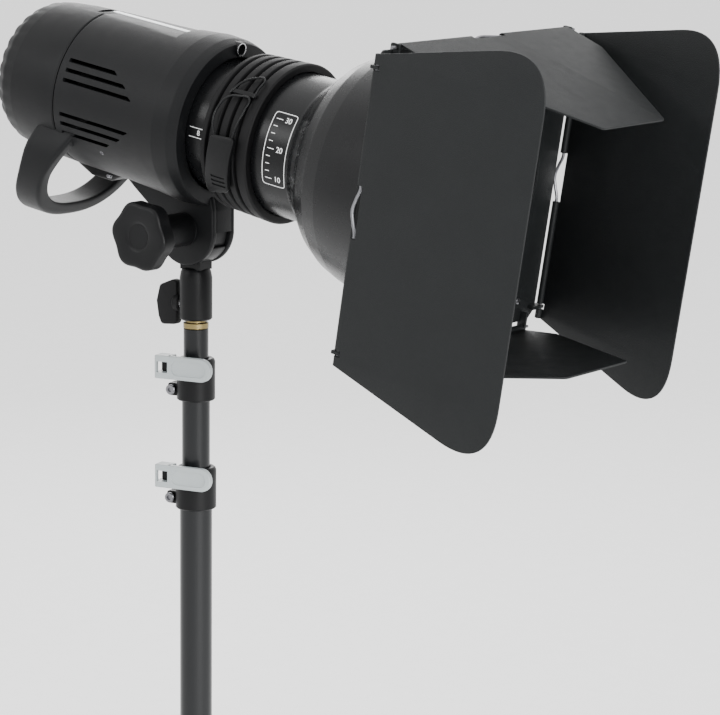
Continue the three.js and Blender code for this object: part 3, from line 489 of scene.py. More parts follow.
def housing_shell():
    inner = HOUSING_R - WALL
    outer = fillet([
        (SEAM + GROOVE, HOUSING_R - 0.7), (SEAM + 1.3, HOUSING_R), (-40, HOUSING_R + 1),
        (-8, HOUSING_R + 2.8), (BULKHEAD, NOSE_R), (26, NOSE_R - 0.8), (RIM - 2, RIM_R + 1), (RIM, RIM_R),
    ], 9, closed=False, steps=5)
    lip = fillet([(RIM, RIM_R), (RIM, LIP_R), (RIM - LIP_DEPTH, LIP_R)], 5, closed=False, steps=8)
    rest = [(RIM - LIP_DEPTH, CHANNEL_R), (BULKHEAD + WALL, CHANNEL_R), (BULKHEAD + WALL, 44), (BULKHEAD, 44),
            (BULKHEAD, inner + 0.6), (SEAM + GROOVE, inner)]
    body = lathe(outer + lip[1:] + rest)
    above = [(SEAM - 9, TOP_FLAT), (TRIM_FRONT + 3, TOP_FLAT), (TRIM_FRONT + 9, 90), (SEAM - 9, 90)]
    body = cut(body, *vent_cutters(), upright(fillet(above, 2), -40, 40, 0.01),
               rod("X", UMBRELLA_R + 0.3, UMBRELLA_REAR - 0.3, RIM + 4, (0, 0, UMBRELLA_V)))
    on_head("housing_shell", body, SHELL, ["main_housing"], 32, 0.25)


CHEEK_R = 28.5
CHEEKS = ((-14.0, -8.4), (8.4, 13.0))
BOLT_R = 5.0
DISC_R = 25.0
SECTOR_R = CHEEK_R - 1


def to_head(point):
    """A point of the row frame, in millimetres, in head coordinates."""
    return head_place().inverted() @ Vector(point)


PIVOT_HEAD = to_head(PIVOT)


def housing_lobe():
    """The lobe under the housing: two cheeks and the web between them, above the bracket's disc."""
    px, pz = PIVOT_HEAD.x, PIVOT_HEAD.z
    outline = [(-48, -50), (-56, -57), (-42, -66), (-25, -76)]
    outline += arc(px, pz, CHEEK_R, 168, 362, 40)
    outline += [(px + CHEEK_R - 3, -66), (RIM + 1, -57), (RIM - 4, -50)]
    for number, (y0, y1) in enumerate(CHEEKS, 1):
        body = upright(fillet(outline, 6, steps=5), y0, y1, 1.6)
        body = cut(body, rod("Y", BOLT_R + 0.4, -80, 80, (px, 0, pz)))
        on_head(f"housing_cheek_{number}", body, SHELL, ["main_housing"])
    web = upright(fillet(outline, 6, steps=5), CHEEKS[0][1] - 0.5, CHEEKS[1][0] + 0.5, 0.3)
    web = cut(web, rod("Y", SECTOR_R + 0.4, -30, 30, (px, 0, pz), segments=FINE),
              box_mesh(px - CHEEK_R - 20, px + CHEEK_R + 5, -30, 30, pz - CHEEK_R - 1, pz + 3))
    on_head("housing_web", web, SHELL)
    boss = lathe([(-0.2, 12.5), (0.9, 12.0), (1.4, 11.0), (1.4, 6), (-0.2, 6)], MEDIUM)
    boss.transform(shift(px, CHEEKS[0][0], pz) @ turn("Z", -90))
    on_head("pivot_boss", boss, SHELL)


def scallop(along, radius, angle):
    """The grip lobes, which deepen towards the back and leave the panel's rim round."""
    depth = min(1.0, max(0.0, (SCALLOP_START - along) / SCALLOP_RUN)) if radius > SCALLOP_INNER else 0.0
    return along, radius - SCALLOP_DEPTH * depth * (0.5 + 0.5 * cos(SCALLOPS * angle)) ** 2


def rear_shell():
    outer = fillet([
        (SEAM - GROOVE, HOUSING_R - 0.9), (SEAM - 1.3, HOUSING_R - 0.2), (-120, 60.6), (-140, 58.8),
        (-151, 57), (-160, 52), (REAR, 44),
    ], 10, closed=False, steps=8)
    rest = [(REAR, PANEL_R + 1), (REAR + 0.6, PANEL_R), (REAR + 4.3, PANEL_R), (REAR + 4.3, 37),
            (REAR + 7.3, 37), (REAR + 9, 50), (-149, 54), (-120, 57.5), (SEAM - GROOVE, HOUSING_R - WALL)]
    step = [(SEAM - 8, TOP_FLAT), (SEAM + 2, TOP_FLAT), (SEAM + 2, 90), (SEAM - 6, 90)]
    body = cut(lathe(outer + rest, 8 * SCALLOPS, scallop), upright(step, -40, 40, 0.01))
    on_head("rear_shell", body, SHELL, ["rear_cover"], 40)
    seam = lathe([(SEAM - 1.5, HOUSING_R - 1.8), (SEAM + 1.5, HOUSING_R - 1.8),
                  (SEAM + 1.5, HOUSING_R - 3), (SEAM - 1.5, HOUSING_R - 3)])
    on_head("seam_gasket", seam, RUBBER)


def polar(s, radius, degrees):
    """Head coordinates of a point; the angle runs from the near side (-Y) upward."""
    a = radians(degrees)
    return s, -radius * cos(a), radius * sin(a)


def screw_head(name, s, radius, degrees, size=2.4):
    dome = lathe([(0.0, size), (0.5, size), (1.0, size * 0.8), (1.25, size * 0.45), (1.25, 0)],
                 SMALL, on_axis=True)
    slot = box_mesh(0.7, 2, -0.35, 0.35, -size * 0.62, size * 0.62)
    cross = box_mesh(0.7, 2, -size * 0.62, size * 0.62, -0.35, 0.35)
    dome = cut(joined(dome, rod("X", size, -1.5, 0.2)), slot, cross)
    outward = Vector(polar(0, 1, degrees))
    place = shift(*polar(s, radius, degrees)) @ outward.to_track_quat("X", "Z").to_matrix().to_4x4()
    wrap_up(name, dome, head_place(place), DULL, "flash_head")


def top_strip():
    outline = fillet(rectangle(TRIM_REAR, TRIM_FRONT, *TRIM_SIDES), 2.5)
    strip = plate(outline, TOP_FLAT - TRIM_THICK + 0.4, TOP_FLAT + 0.4, 0.35)
    on_head("top_strip", strip, TRIM, ["top_trim"])


# ---- carrying handle
HANDLE = {"s": -81.0, "lean": 0.44, "half": 13.0, "wide": 60.0, "drop": 108.0, "centre": -50.0,
          "thick": 11.0, "power": 0.8}


def handle_path(steps=48):
    """The strap's middle line in Y and Z, from the near root round to the far one."""
    wide = HANDLE["wide"] - HANDLE["thick"] / 2
    drop = HANDLE["drop"] - HANDLE["thick"] / 2
    root = [(wide - 15.0, -14.0), (wide - 8.5, -26.0), (wide - 3.6, -35.5), (wide - 0.8, -44.0)]
    points = [(-y, z) for y, z in root]
    for i in range(steps + 1):
        angle = pi * i / steps
        cosine = cos(angle)
        across = copysign(abs(cosine) ** HANDLE["power"], cosine)
        down = sin(angle) ** HANDLE["power"]
        points.append((-wide * across, HANDLE["centre"] - (drop + HANDLE["centre"]) * down))
    points += reversed(root)
    return points


def carrying_handle():
    half, thick = HANDLE["half"], HANDLE["thick"] / 2
    section = fillet(rectangle(-half, half, -thick, thick), 3.6, steps=6)

    def widening(v):
        t = min(1.0, max(0.0, (v + 74) / 40))
        return 1 + 0.5 * t * t * (3 - 2 * t)
    path = [Vector(point) for point in handle_path()]
    mesh = bmesh.new()
    rings = []
    for i, point in enumerate(path):
        along = (path[min(i + 1, len(path) - 1)] - path[max(i - 1, 0)]).normalized()
        normal = Vector((along.y, -along.x))
        ring = []
        for a, b in section:
            spot = point + normal * b
            s = HANDLE["s"] + HANDLE["lean"] * spot.y + a * widening(point.y)
            ring.append(mesh.verts.new((s, spot.x, spot.y)))
        rings.append(ring)
    skin(mesh, rings)
    mesh.faces.new(rings[0])
    mesh.faces.new(rings[-1])
    on_head("handle_strap", tidy_mesh(mesh), SHELL, ["carry_handle"], 50, 0.8)
    outline = [(-114, -52), (-108, -63), (-92, -69.5), (-72, -69.5), (-61, -63), (-58, -52)]
    pad = upright(fillet(outline, 8, steps=6), -8, 26, 3.5)
    on_head("under_pad", pad, SHELL)
    screw_head("pad_screw", -68, 65.4, -78, 2.2)


# ---- front tube, umbrella tube, lamp
TUBE_R = 50.0
TUBE_FRONT = 96.0
TUBE_WALL = 3.0


def front_cylinder():
    rear = BULKHEAD + WALL + 0.3
    profile = [(rear, RIM_R - 6.5), (rear + 3, RIM_R - 6.5), (rear + 3, TUBE_R), (TUBE_FRONT - 1, TUBE_R),
               (TUBE_FRONT, TUBE_R - 1), (TUBE_FRONT, TUBE_R - TUBE_WALL), (rear, TUBE_R - TUBE_WALL)]
    body = lathe(fillet(profile, 0.6, steps=3))
    body = cut(body, rod("X", UMBRELLA_R + 0.3, 0, RIM + 9, (0, 0, UMBRELLA_V)))
    on_head("front_cylinder", body, SATIN, ["front_tube"])
    zoom_scale()


def zoom_scale():
    """Lines and generic digits of the zoom scale, on the near side of the front tube."""
    first, last, half = 35.8, 53.4, 3.6
    for number, y in enumerate((-half, half), 1):
        line = plate(rectangle(first, last, y - 0.25, y + 0.25), -0.05, 0.12, 0.02)
        on_head(f"scale_line_{number}", bend_round_axis(line, TUBE_R), MARKING)
    digit = bend_round_axis(moved(glyphs("8", 5.5), shift((first + last) / 2, 0, 0.05)), TUBE_R)
    on_head("scale_digit", digit, MARKING)


def umbrella_socket():
    place = head_place(shift(0, 0, UMBRELLA_V))
    rear, front = UMBRELLA_REAR, UMBRELLA_FRONT
    tube = [(rear, UMBRELLA_R), (front, UMBRELLA_R), (front, UMBRELLA_BORE), (rear, UMBRELLA_BORE)]
    body = lathe(fillet(tube, 0.5, steps=3), MEDIUM)
    wrap_up("umbrella_socket", body, place, SATIN, "flash_head", ["umbrella_tube"])
    ring = [(front - 0.8, UMBRELLA_R - 0.2), (front + 0.1, UMBRELLA_R - 0.5),
            (front + 0.1, UMBRELLA_BORE + 0.3), (front - 0.8, UMBRELLA_BORE)]
    wrap_up("umbrella_ring", lathe(ring, MEDIUM), place, SILVER, "flash_head")


def lamp_inside():
    inside = TUBE_R - TUBE_WALL - 0.3
    plate_s = 60.0
    disc = lathe([(plate_s, inside), (plate_s + 2, inside), (plate_s + 2, 10.5), (plate_s + 1.2, 10),
                  (plate_s, 10)])
    on_head("lamp_disc", disc, HAMMERED, ["lamp_plate"])
    tube = bar([(74.0, y, z) for y, z in arc(0, 0, 28, -78, 258, 40)], 3.9)
    legs = [rod("X", 3.0, plate_s + 2.3, 75.0, (0, side * 6.5, -27.2)) for side in (-1, 1)]
    on_head("flash_ring", joined(tube, *legs), FROSTED, ["flash_tube"])
    bulb = fillet([(40, 0), (40, 7), (58, 7), (62, 9), (76, 9), (83, 6), (85, 0)], 4, closed=False, steps=5)
    on_head("modelling_bulb", lathe(bulb, MEDIUM, on_axis=True), FROSTED,
            ["modelling_lamp"])
    rear = TUBE_FRONT - 5
    pane = [(rear, 0), (rear, inside - 0.6), (rear + 0.6, inside), (rear + 2.4, inside),
            (rear + 3, inside - 0.6), (rear + 3, 0)]
    on_head("glass_pane", lathe(pane, FINE, on_axis=True), GLASS, ["front_glass"])


# ---- tilt knob and bolt
KNOB = {"radius": 27.0, "lobes": 6, "front": -69.5, "back": -57.0, "swell": 1.3, "round": 3.2}


def knob_body():
    """The hand knob: a rounded lobed grip with a dished face and a waisted hub."""
    front, back, radius, soft = KNOB["front"], KNOB["back"], KNOB["radius"], KNOB["round"]
    sections = [(front + 1.6, 0.0), (front + 1.6, 9.5), (front + 0.5, 10.8), (front, 12.5),
                (front, radius - soft - 1)]
    sections += [(front + soft * (1 - cos(a)), radius - soft + soft * sin(a))
                 for a in [radians(15 * i) for i in range(1, 7)]]
    sections += [(back - soft * cos(a), radius - soft + soft * sin(a))
                 for a in [radians(90 - 15 * i) for i in range(0, 6)]]
    hub = CHEEKS[0][0] - 1.8
    sections += [(back, 17), (back + 1.5, 14), (back + 4, 13), (hub, 13), (hub, 0)]

    def lobes(along, r, angle):
        weight = min(1.0, max(0.0, (r - 15) / 8))
        return along, r - weight * KNOB["swell"] * (1 - cos(KNOB["lobes"] * angle))
    body = lathe(sections, FINE, lobes, on_axis=True)
    body.transform(turn("Z", 90))
    place = head_place(shift(PIVOT_HEAD.x, 0, PIVOT_HEAD.z))
    wrap_up("knob_grip", body, place, DARK, "tilt_handwheel", ["tilt_knob"], 40)


def pivot_bolt():
    cap = plate(hexagon(0, 0, 10), -18, -13.3, 0.7)
    cap.transform(turn("X", 90))
    shank = rod("Y", BOLT_R, CHEEKS[0][0] - 1.5, CHEEKS[1][1] + 1)
    place = head_place(shift(PIVOT_HEAD.x, 0, PIVOT_HEAD.z))
    wrap_up("pivot_bolt", joined(cap, shank), place, SILVER, "flash_head", ["tilt_bolt"])


# ---- rear panel
PANEL_BACK = REAR + 1
PANEL_FRONT = REAR + 4
DIAL_RIDGES = 32


def ridged(along, radius, angle):
    """The fine grip round the dial."""
    depth = 0.25 * (0.5 + 0.5 * cos(DIAL_RIDGES * angle)) if radius > 7 else 0
    return along, radius - depth


def rear_controls():
    for name, material in (("rear_panel", DARK), ("power_inlet", DARK), ("display_window", SCREEN),
                           ("mode_button", LEVER), ("test_button", LEVER), ("power_switch", RUBBER),
                           ("sync_socket", SILVER), ("circuit_board", BOARD), ("capacitor_bank", DARK),
                           ("cooling_fan", DARK)):
        carry_over(name, material, 0.35)
    profile = [(PANEL_BACK - 7, 0), (PANEL_BACK - 7, 6.2), (PANEL_BACK - 6.4, 7.2), (PANEL_BACK - 5.4, 7.6),
               (PANEL_FRONT - 0.8, 7.7), (PANEL_FRONT - 0.8, 0)]
    dial = lathe(profile, 3 * DIAL_RIDGES, ridged, on_axis=True)
    wrap_up("dial_cap", dial, head_place(shift(0, 0, -1)), DARK, "dial", ["power_dial"], 50)
    for number in range(11):
        angle = radians(-135 + 27 * number)
        tick = plate(rectangle(-0.25, 0.25, 9.6, 11.4 if number % 5 == 0 else 10.8), -0.1, 0.15, 0.02)
        place = shift(PANEL_BACK, 0, -1) @ Matrix.Rotation(-angle, 4, "X") @ turn("Y", -90) @ turn("Z", 90)
        wrap_up(f"dial_tick_{number + 1}", tick, head_place(place), MARKING, "flash_head")


def carry_over(name, material, bevel):
    """Keeps a CAD node's own shape, with softened edges and a finer finish."""
    obj = frame["nodes"][name]
    obj.data.materials.clear()
    obj.data.materials.append(material)
    soften(obj, 32, bevel)


# ---- zoom reflector
NECK_R = 55.0
NECK_END = 134.0
MOUTH_S = 248.0
MOUTH_R = 101.0
COLLAR_REAR = 55.0
COLLAR_FRONT = 100.3
COLLAR_R = 61.7
BOWL_WALL = 1.6


def bowl():
    outer = [(NECK_END, NECK_R), (140, 58), (146, 64.3), (153, 71.5), (160, 77.6), (172, 84.5), (186, 89),
             (206, 93.4), (MOUTH_S - 3, MOUTH_R - 0.6), (MOUTH_S, MOUTH_R)]
    inner = [(s + 0.6, r - BOWL_WALL - 0.4) for s, r in outer[1:-1]]
    outside = fillet([(COLLAR_REAR + 2, NECK_R), *outer], 8, closed=False, steps=5)
    mouth = [(MOUTH_S + 0.6, MOUTH_R - 0.8), (MOUTH_S, MOUTH_R - BOWL_WALL)]
    bore = [(TUBE_FRONT + 6, NECK_R - BOWL_WALL), (TUBE_FRONT + 3, TUBE_R + 0.4),
            (COLLAR_REAR + 2, TUBE_R + 0.4)]
    inside = fillet([*mouth, *inner[::-1], (NECK_END, NECK_R - BOWL_WALL), *bore], 6, closed=False)
    strips = (outside, inside, [outside[-1], inside[0]], [inside[-1], outside[0]])
    mesh = bmesh.new()
    mesh.from_mesh(joined(*[lathe(strip, on_axis=True) for strip in strips]))
    obj = wrap_up("bowl_shell", tidy_mesh(mesh), head_place(), None, "reflector", ["reflector_shell"], 40)
    obj.data.materials.append(SATIN)
    obj.data.materials.append(HAMMERED)
    inverse = HEAD.inverted()
    for face in obj.data.polygons:
        local = inverse @ face.center
        outward = inverse.to_3x3() @ face.normal
        sideways = Vector((0, local.y, local.z))
        if outward.dot(sideways) < 0 and local.x / MM > TUBE_FRONT + 2:
            face.material_index = 1
    lip = [(MOUTH_S - 6, MOUTH_R + 1.2), (MOUTH_S - 4.4, MOUTH_R + 1.9), (MOUTH_S - 2, MOUTH_R + 1.9),
           (MOUTH_S - 1, MOUTH_R + 0.8), (MOUTH_S - 1, MOUTH_R - 0.8), (MOUTH_S - 6, MOUTH_R - 1.6)]
    wrap_up("bowl_lip", lathe(fillet(lip, 0.5)), head_place(), SATIN, "reflector")


def neck_label():
    """A generic label: a rounded frame with ticks and plain numbers."""
    s0, s1, low, high = 111.0, 132.0, -23.0, 36.0
    arc_length = [radians(a) * NECK_R for a in (low, high)]
    outer = fillet(rectangle(s0, s1, *arc_length), 3)
    inner = fillet(rectangle(s0 + 0.5, s1 - 0.5, arc_length[0] + 0.5, arc_length[1] - 0.5), 2.6)
    border = bend_round_axis(plate(outer, 0.0, 0.12, 0.02, [inner]), NECK_R, 2.5)
    wrap_up("label_border", border, head_place(), MARKING, "reflector")
    ticks = []
    for number in range(9):
        y = arc_length[0] + (arc_length[1] - arc_length[0]) * (number + 1) / 10
        length = 6.0 if number % 4 == 0 else 3.6
        ticks.append(plate(rectangle(s0 + 3, s0 + 3 + length, y - 0.25, y + 0.25), 0.0, 0.12, 0.02))
    for number, text in enumerate(("10", "20", "30")):
        y = arc_length[0] + (arc_length[1] - arc_length[0]) * (number * 4 + 1) / 10
        ticks.append(moved(glyphs(text, 6.0), shift(s0 + 14.2, y, 0.06)))
    scale = bend_round_axis(joined(*ticks), NECK_R, 2.5)
    wrap_up("label_scale", scale, head_place(), MARKING, "reflector")


def ribbed_collar():
    seat = NECK_R + 0.3
    pitch = 9.4
    points = [(COLLAR_REAR, seat), (COLLAR_REAR, COLLAR_R - 2.6), (COLLAR_REAR + 1, COLLAR_R - 1.7)]
    for number in range(4):
        s = COLLAR_REAR + 4.4 + number * pitch
        radius = COLLAR_R - 1.6 + 0.35 * number
        points += [(s, radius), (s + 0.8, radius - 3.4), (s + 3, radius - 3.4), (s + 3.8, radius + 0.3)]
    points += [(COLLAR_FRONT - 1.2, COLLAR_R), (COLLAR_FRONT, COLLAR_R - 1.2), (COLLAR_FRONT, seat)]
    wrap_up("ribbed_collar", lathe(fillet(points, 0.9)), head_place(), RUBBER, "reflector",
            ["rubber_collar"], 40)


LATCH_R = 62.7
WIRE_R = 0.85
KEEPER_ANGLE = 36.5


def latch_parts():
    corners = [(69.3, 5.9), (92.0, 7.2), (84.2, -32.3), (63.1, -36.6)]
    outline = [(s, radians(a) * LATCH_R) for s, a in corners]
    lever = plate(fillet(outline, 4, steps=5), 0.0, 4.6, 1.0)
    grooves = [plate(fillet(rectangle(71, 84, y - 0.9, y + 0.9), 0.8), 3.8, 8, 0.01)
               for y in (-30, -26.5, -23)]
    lever = bend_round_axis(cut(lever, *grooves), LATCH_R)
    wrap_up("latch_body", lever, head_place(), DARK, "latch", ["latch_lever"])
    r = LATCH_R + 1.5
    loop = [polar(s, r, a) for s, a in (
        (70.5, 6), (66.5, 14), (66.8, 24), (71.4, 32.4), (80.9, 35.4), (90.6, 34.8), (91.0, 27), (88.8, 15),
        (87.5, 6.5))]
    wrap_up("latch_bail", bar(loop, WIRE_R), head_place(), SATIN, "bail", ["latch_wire"])
    stay = [polar(s, r - depth, a) for s, depth, a in (
        (70.5, 0.5, 36), (76, 0.5, 46), (84, 0.6, 52), (91.3, 0.6, 53), (92.6, 0.6, 44),
        (92.2, 0.6, KEEPER_ANGLE))]
    wrap_up("latch_stay", bar(stay, WIRE_R), head_place(), SATIN, "reflector")
    keeper = plate(fillet(rectangle(70, 94, 0, 3.4), 1.5), 0.0, 1.8, 0.5)
    keeper.transform(shift(0, radians(KEEPER_ANGLE) * LATCH_R, 0))
    wrap_up("latch_keeper", bend_round_axis(keeper, LATCH_R - 0.8), head_place(), DARK, "reflector")


# ---- barn doors
PLATE_REAR = 249.0
PLATE_THICK = 2.0
PLATE_Y = 125.4
PLATE_Z = 112.0
PLATE_HOLE = 98.9
PLATE_CUT = 8.0
SIDE_HINGE = 127.6
TOP_HINGE = 114.4
BOTTOM_HINGE = 116.0
ROD_R = 1.2
BARREL_R = 2.6
LEAF_THICK = 1.5
LUG_THICK = 2.4
LUG_GAP = 1.0
LUG_REACH = ROD_R + 1.3
LUG_SLOT = LUG_THICK / 2 + LUG_GAP
LEAF_START = -0.5
KINK_HALF = 16.0
KINK_RISE = 4.5
KINK_NOTCH = KINK_HALF + 3
SIDE_LEAF = {"half": 110.9, "reach": 145.7, "outer": 146.5, "round": 37.0, "straight": 0.0}
END_LEAF = {"half": 105.7, "reach": 135.5, "outer": 39.9, "round": 5.0, "straight": 32.3}
SIDE_LUG = PLATE_Z - PLATE_CUT - LUG_THICK
END_LUG = END_LEAF["half"] + LUG_THICK / 2 + LUG_GAP
DOORS = (
    ("near", SIDE_LEAF, SIDE_LUG, (-SIDE_HINGE, 0), ("Z", -4.1), 90),
    ("far", SIDE_LEAF, SIDE_LUG, (SIDE_HINGE, 0), ("Z", -15.2), -90),
    ("top", END_LEAF, END_LUG, (0, TOP_HINGE), ("Y", 14.8), 0),
    ("bottom", END_LEAF, END_LUG, (0, -BOTTOM_HINGE), ("Y", -9.5), 180),
)


def corner_arc(size, side):
    start = Vector((size["straight"], size["half"]))
    corner = Vector((size["reach"], size["outer"]))
    back = (start - corner).normalized()
    down = Vector((0, -1))
    reach = size["round"] / tan(back.angle(down) / 2)
    curve = rounding(corner + back * reach, corner, corner + down * reach, 16)
    return [(spot.x, side * spot.y) for spot in curve]


def leaf_outline(size, lug):
    """Round the leaf, with the notches for the lugs and the rod's kink at the hinge edge."""
    edge = LEAF_START
    half = size["half"]
    points = [(edge, -half)]
    if size["straight"] > 0:
        points.append((size["straight"], -half))
    points += corner_arc(size, -1) + corner_arc(size, 1)[::-1]
    if size["straight"] > 0:
        points.append((size["straight"], half))
    points.append((edge, half))
    notches = [(0, KINK_NOTCH, BARREL_R + 0.2)]
    if lug + LUG_SLOT < half:
        deep = LUG_REACH + LUG_GAP
        notches = [(lug, LUG_SLOT, deep), *notches, (-lug, LUG_SLOT, deep)]
    for y, wide, deep in notches:
        points += [(edge, y + wide), (deep, y + wide), (deep, y - wide), (edge, y - wide)]
    return points


def barrel_spans(size, lug):
    """Where the rolled hinge edge runs: between the notches for the kink and the lugs."""
    half = size["half"]
    spans = [(KINK_NOTCH, half)]
    if lug + LUG_SLOT < half:
        spans = [(KINK_NOTCH, lug - LUG_SLOT), (lug + LUG_SLOT, half)]
    return spans + [(-high, -low) for low, high in spans]


def door(name, size, lug, spot, swing, roll):
    y, v = spot
    hinge = shift(HINGE_S, y, v)
    axis, degrees = swing
    flat = hinge @ turn(axis, degrees) @ turn("X", roll)
    sheet = plate(leaf_outline(size, lug), BARREL_R - LEAF_THICK, BARREL_R, 0.3)
    rolls = []
    for low, high in barrel_spans(size, lug):
        tube = lathe([(low, BARREL_R - 0.2), (low + 0.2, BARREL_R), (high - 0.2, BARREL_R),
                      (high, BARREL_R - 0.2), (high, ROD_R + 0.3), (low, ROD_R + 0.3)], SMALL)
        tube.transform(turn("Z", 90))
        rolls.append(tube)
    wrap_up(f"leaf_{name}_panel", joined(sheet, *rolls), head_place(flat), POWDER, f"leaf_{name}",
            [f"door_leaf_{name}"], 35)
    end = lug + LUG_THICK + 4
    half_wire = [(-KINK_RISE * 0.6, KINK_HALF / 2, 0), (0, KINK_HALF, 0), (0, KINK_HALF + 4, 0), (0, end, 0)]
    wire = [(x, -y, z) for x, y, z in reversed(half_wire)] + [(-KINK_RISE, 0, 0)] + half_wire
    wrap_up(f"rod_{name}", bar(wire, ROD_R, 4), head_place(hinge @ turn("X", roll)), DULL, "barn_frame",
            [f"hinge_rod_{name}"])


def lug_mesh(upright_axis, along, across):
    """A hinge lug: a rounded tab with a hole for the rod."""
    x0, x1 = PLATE_REAR + 0.2, HINGE_S + LUG_REACH
    inner = abs(across) - 12
    side = 1 if across > 0 else -1
    low, high = sorted((side * inner, across + side * LUG_REACH))
    outline = fillet(rectangle(x0, x1, low, high), 1.2)
    hole = arc(HINGE_S, across, ROD_R + 0.3, 0, 345, 16)
    shape = plate if upright_axis else upright
    return shape(outline, along - LUG_THICK / 2, along + LUG_THICK / 2, 0.3, [hole])


def barn_frame():
    y, z = PLATE_Y - PLATE_CUT, PLATE_Z - PLATE_CUT
    outline = [(-PLATE_Y, -z), (-y, -PLATE_Z), (y, -PLATE_Z), (PLATE_Y, -z), (PLATE_Y, z), (y, PLATE_Z),
               (-y, PLATE_Z), (-PLATE_Y, z)]
    hole = arc(0, 0, PLATE_HOLE, 0, 357.5, 143)
    face = crosswise(fillet(outline, 3), PLATE_REAR, PLATE_REAR + PLATE_THICK, 0.35, [hole])
    ring = [(MOUTH_S - 8, MOUTH_R + 4), (PLATE_REAR + 1, MOUTH_R + 4), (PLATE_REAR + 1, MOUTH_R + 2.2),
            (MOUTH_S - 8, MOUTH_R + 2.2)]
    rear, front = PLATE_REAR - 0.8, PLATE_REAR + PLATE_THICK + 0.6
    rim = [(rear, PLATE_HOLE + 2.2), (rear, PLATE_HOLE - 0.2), (front, PLATE_HOLE - 0.2),
           (front, PLATE_HOLE + 2.2)]
    lugs = []
    for side in (-1, 1):
        for across in (-SIDE_HINGE, SIDE_HINGE):
            lugs.append(lug_mesh(True, side * SIDE_LUG, across))
        for across in (-BOTTOM_HINGE, TOP_HINGE):
            lugs.append(lug_mesh(False, side * END_LUG, across))
    body = joined(face, lathe(fillet(ring, 0.6)), lathe(fillet(rim, 0.4)), *lugs)
    wrap_up("frame_plate", body, head_place(), POWDER, "barn_frame", ["door_frame"])
    for number, (y, v) in enumerate(((-100, -95), (100, -95), (-100, 95), (100, 95)), 1):
        rivet = lathe([(0, 2.6), (0.5, 2.5), (1.0, 1.7), (1.2, 0)], SMALL, on_axis=True)
        for face_s, flip in ((PLATE_REAR + PLATE_THICK, 0), (PLATE_REAR, 180)):
            spot = shift(face_s, y, v) @ turn("Z", flip)
            wrap_up(f"frame_rivet_{number}_{flip}", rivet.copy(), head_place(spot), DULL, "barn_frame")


# ---- stand bracket, socket, spigot
SOCKET_R = 12.75
SOCKET_TOP = -118.4
SOCKET_BOTTOM = -159.4
SPIGOT_R = 7.94
FLANGE_TOP = -161.3
FLANGE_BOTTOM = -166.1
SCREW_Z = -148.0
DISC_HALF = 8.0
BORE_TOP = -126.0


def at_height(z):
    """A height given from the head axis, in the row frame."""
    return HEAD_Z + z


def column_lathe(profile, segments=MEDIUM, on_axis=False):
    data = lathe([(at_height(z), r) for z, r in profile], segments, on_axis=on_axis)
    data.transform(COLUMN)
    return data


def bracket():
    px, pz = PIVOT.x, PIVOT.z
    disc = rod("Y", DISC_R, -DISC_HALF, DISC_HALF, (px, 0, pz), 0.8, FINE)
    hole = rod("Y", BOLT_R + 0.4, -20, 20, (px, 0, pz))
    wedge = fillet([(px, pz), *arc(px, pz, SECTOR_R, -150, -30, 30)], 1.5)
    sector = upright(wedge, -DISC_HALF, DISC_HALF, 0.9)
    neck = box_mesh(-10, 10, -DISC_HALF, DISC_HALF, at_height(SOCKET_TOP) - 1, at_height(SOCKET_TOP) + 8)
    bore = column_lathe([(SOCKET_BOTTOM - 1, SPIGOT_R + 0.3), (BORE_TOP, SPIGOT_R + 0.3), (BORE_TOP, 0),
                         (SOCKET_BOTTOM - 1, 0)], SMALL)
    profile = [(SOCKET_BOTTOM, 0), (SOCKET_BOTTOM, SOCKET_R - 1.2), (SOCKET_BOTTOM + 1.2, SOCKET_R),
               (-150, SOCKET_R), (-149.6, SOCKET_R), (SOCKET_TOP - 8, SOCKET_R),
               (SOCKET_TOP - 3, SOCKET_R - 0.9), (SOCKET_TOP - 1, SOCKET_R - 2),
               (SOCKET_TOP, SOCKET_R - 3.4), (SOCKET_TOP, 0)]
    socket = cut(column_lathe(profile, FINE, on_axis=True), bore,
                 rod("X", 4.3, -30, 0, (0, 0, at_height(SCREW_Z))))
    wrap_up("bracket_disc", cut(disc, hole), AS_GIVEN, DARK, "swivel_bracket", ["stand_bracket"])
    wrap_up("bracket_sector", cut(sector, hole.copy()), AS_GIVEN, DARK, "swivel_bracket")
    wrap_up("bracket_neck", neck, AS_GIVEN, DARK, "swivel_bracket", bevel=1.0)
    wrap_up("bracket_socket", socket, AS_GIVEN, DARK, "swivel_bracket", ["stand_bracket"], 40)


def wing_screw():
    z = at_height(SCREW_Z)
    outline = [(-17, -17), (-33, -18.5), (-36, -12), (-38, 0), (-34.5, 13), (-21, 18.5), (-17, 17)]
    wing = upright(fillet(outline, 4, steps=5), -3.5, 3.5, 1.3)
    boss = rod("X", 7, -20, -SOCKET_R - 1, edge=1.0)
    shaft = rod("X", 4, -SOCKET_R - 7, -SPIGOT_R - 0.3)
    rim = rod("X", 4.9, -SOCKET_R - 1.6, -SOCKET_R - 0.2)
    wrap_up("wing_grip", joined(wing, boss), shift(0, 0, z), RUBBER, "socket_t_screw", ["socket_screw"])
    wrap_up("wing_shaft", joined(shaft, rim), shift(0, 0, z), SILVER, "socket_t_screw", ["socket_screw"])


TOP_R = 9.75
MID_R = 11.0
BASE_R = 12.75
SKIN = 1.2
TOP_LENGTH = 400.0
MID_LENGTH = 440.0
UPPER_TOP = -189.8
LOWER_TOP = -276.6
CLAMP_HEIGHT = 33.0
CUP_FLOOR = 4.0


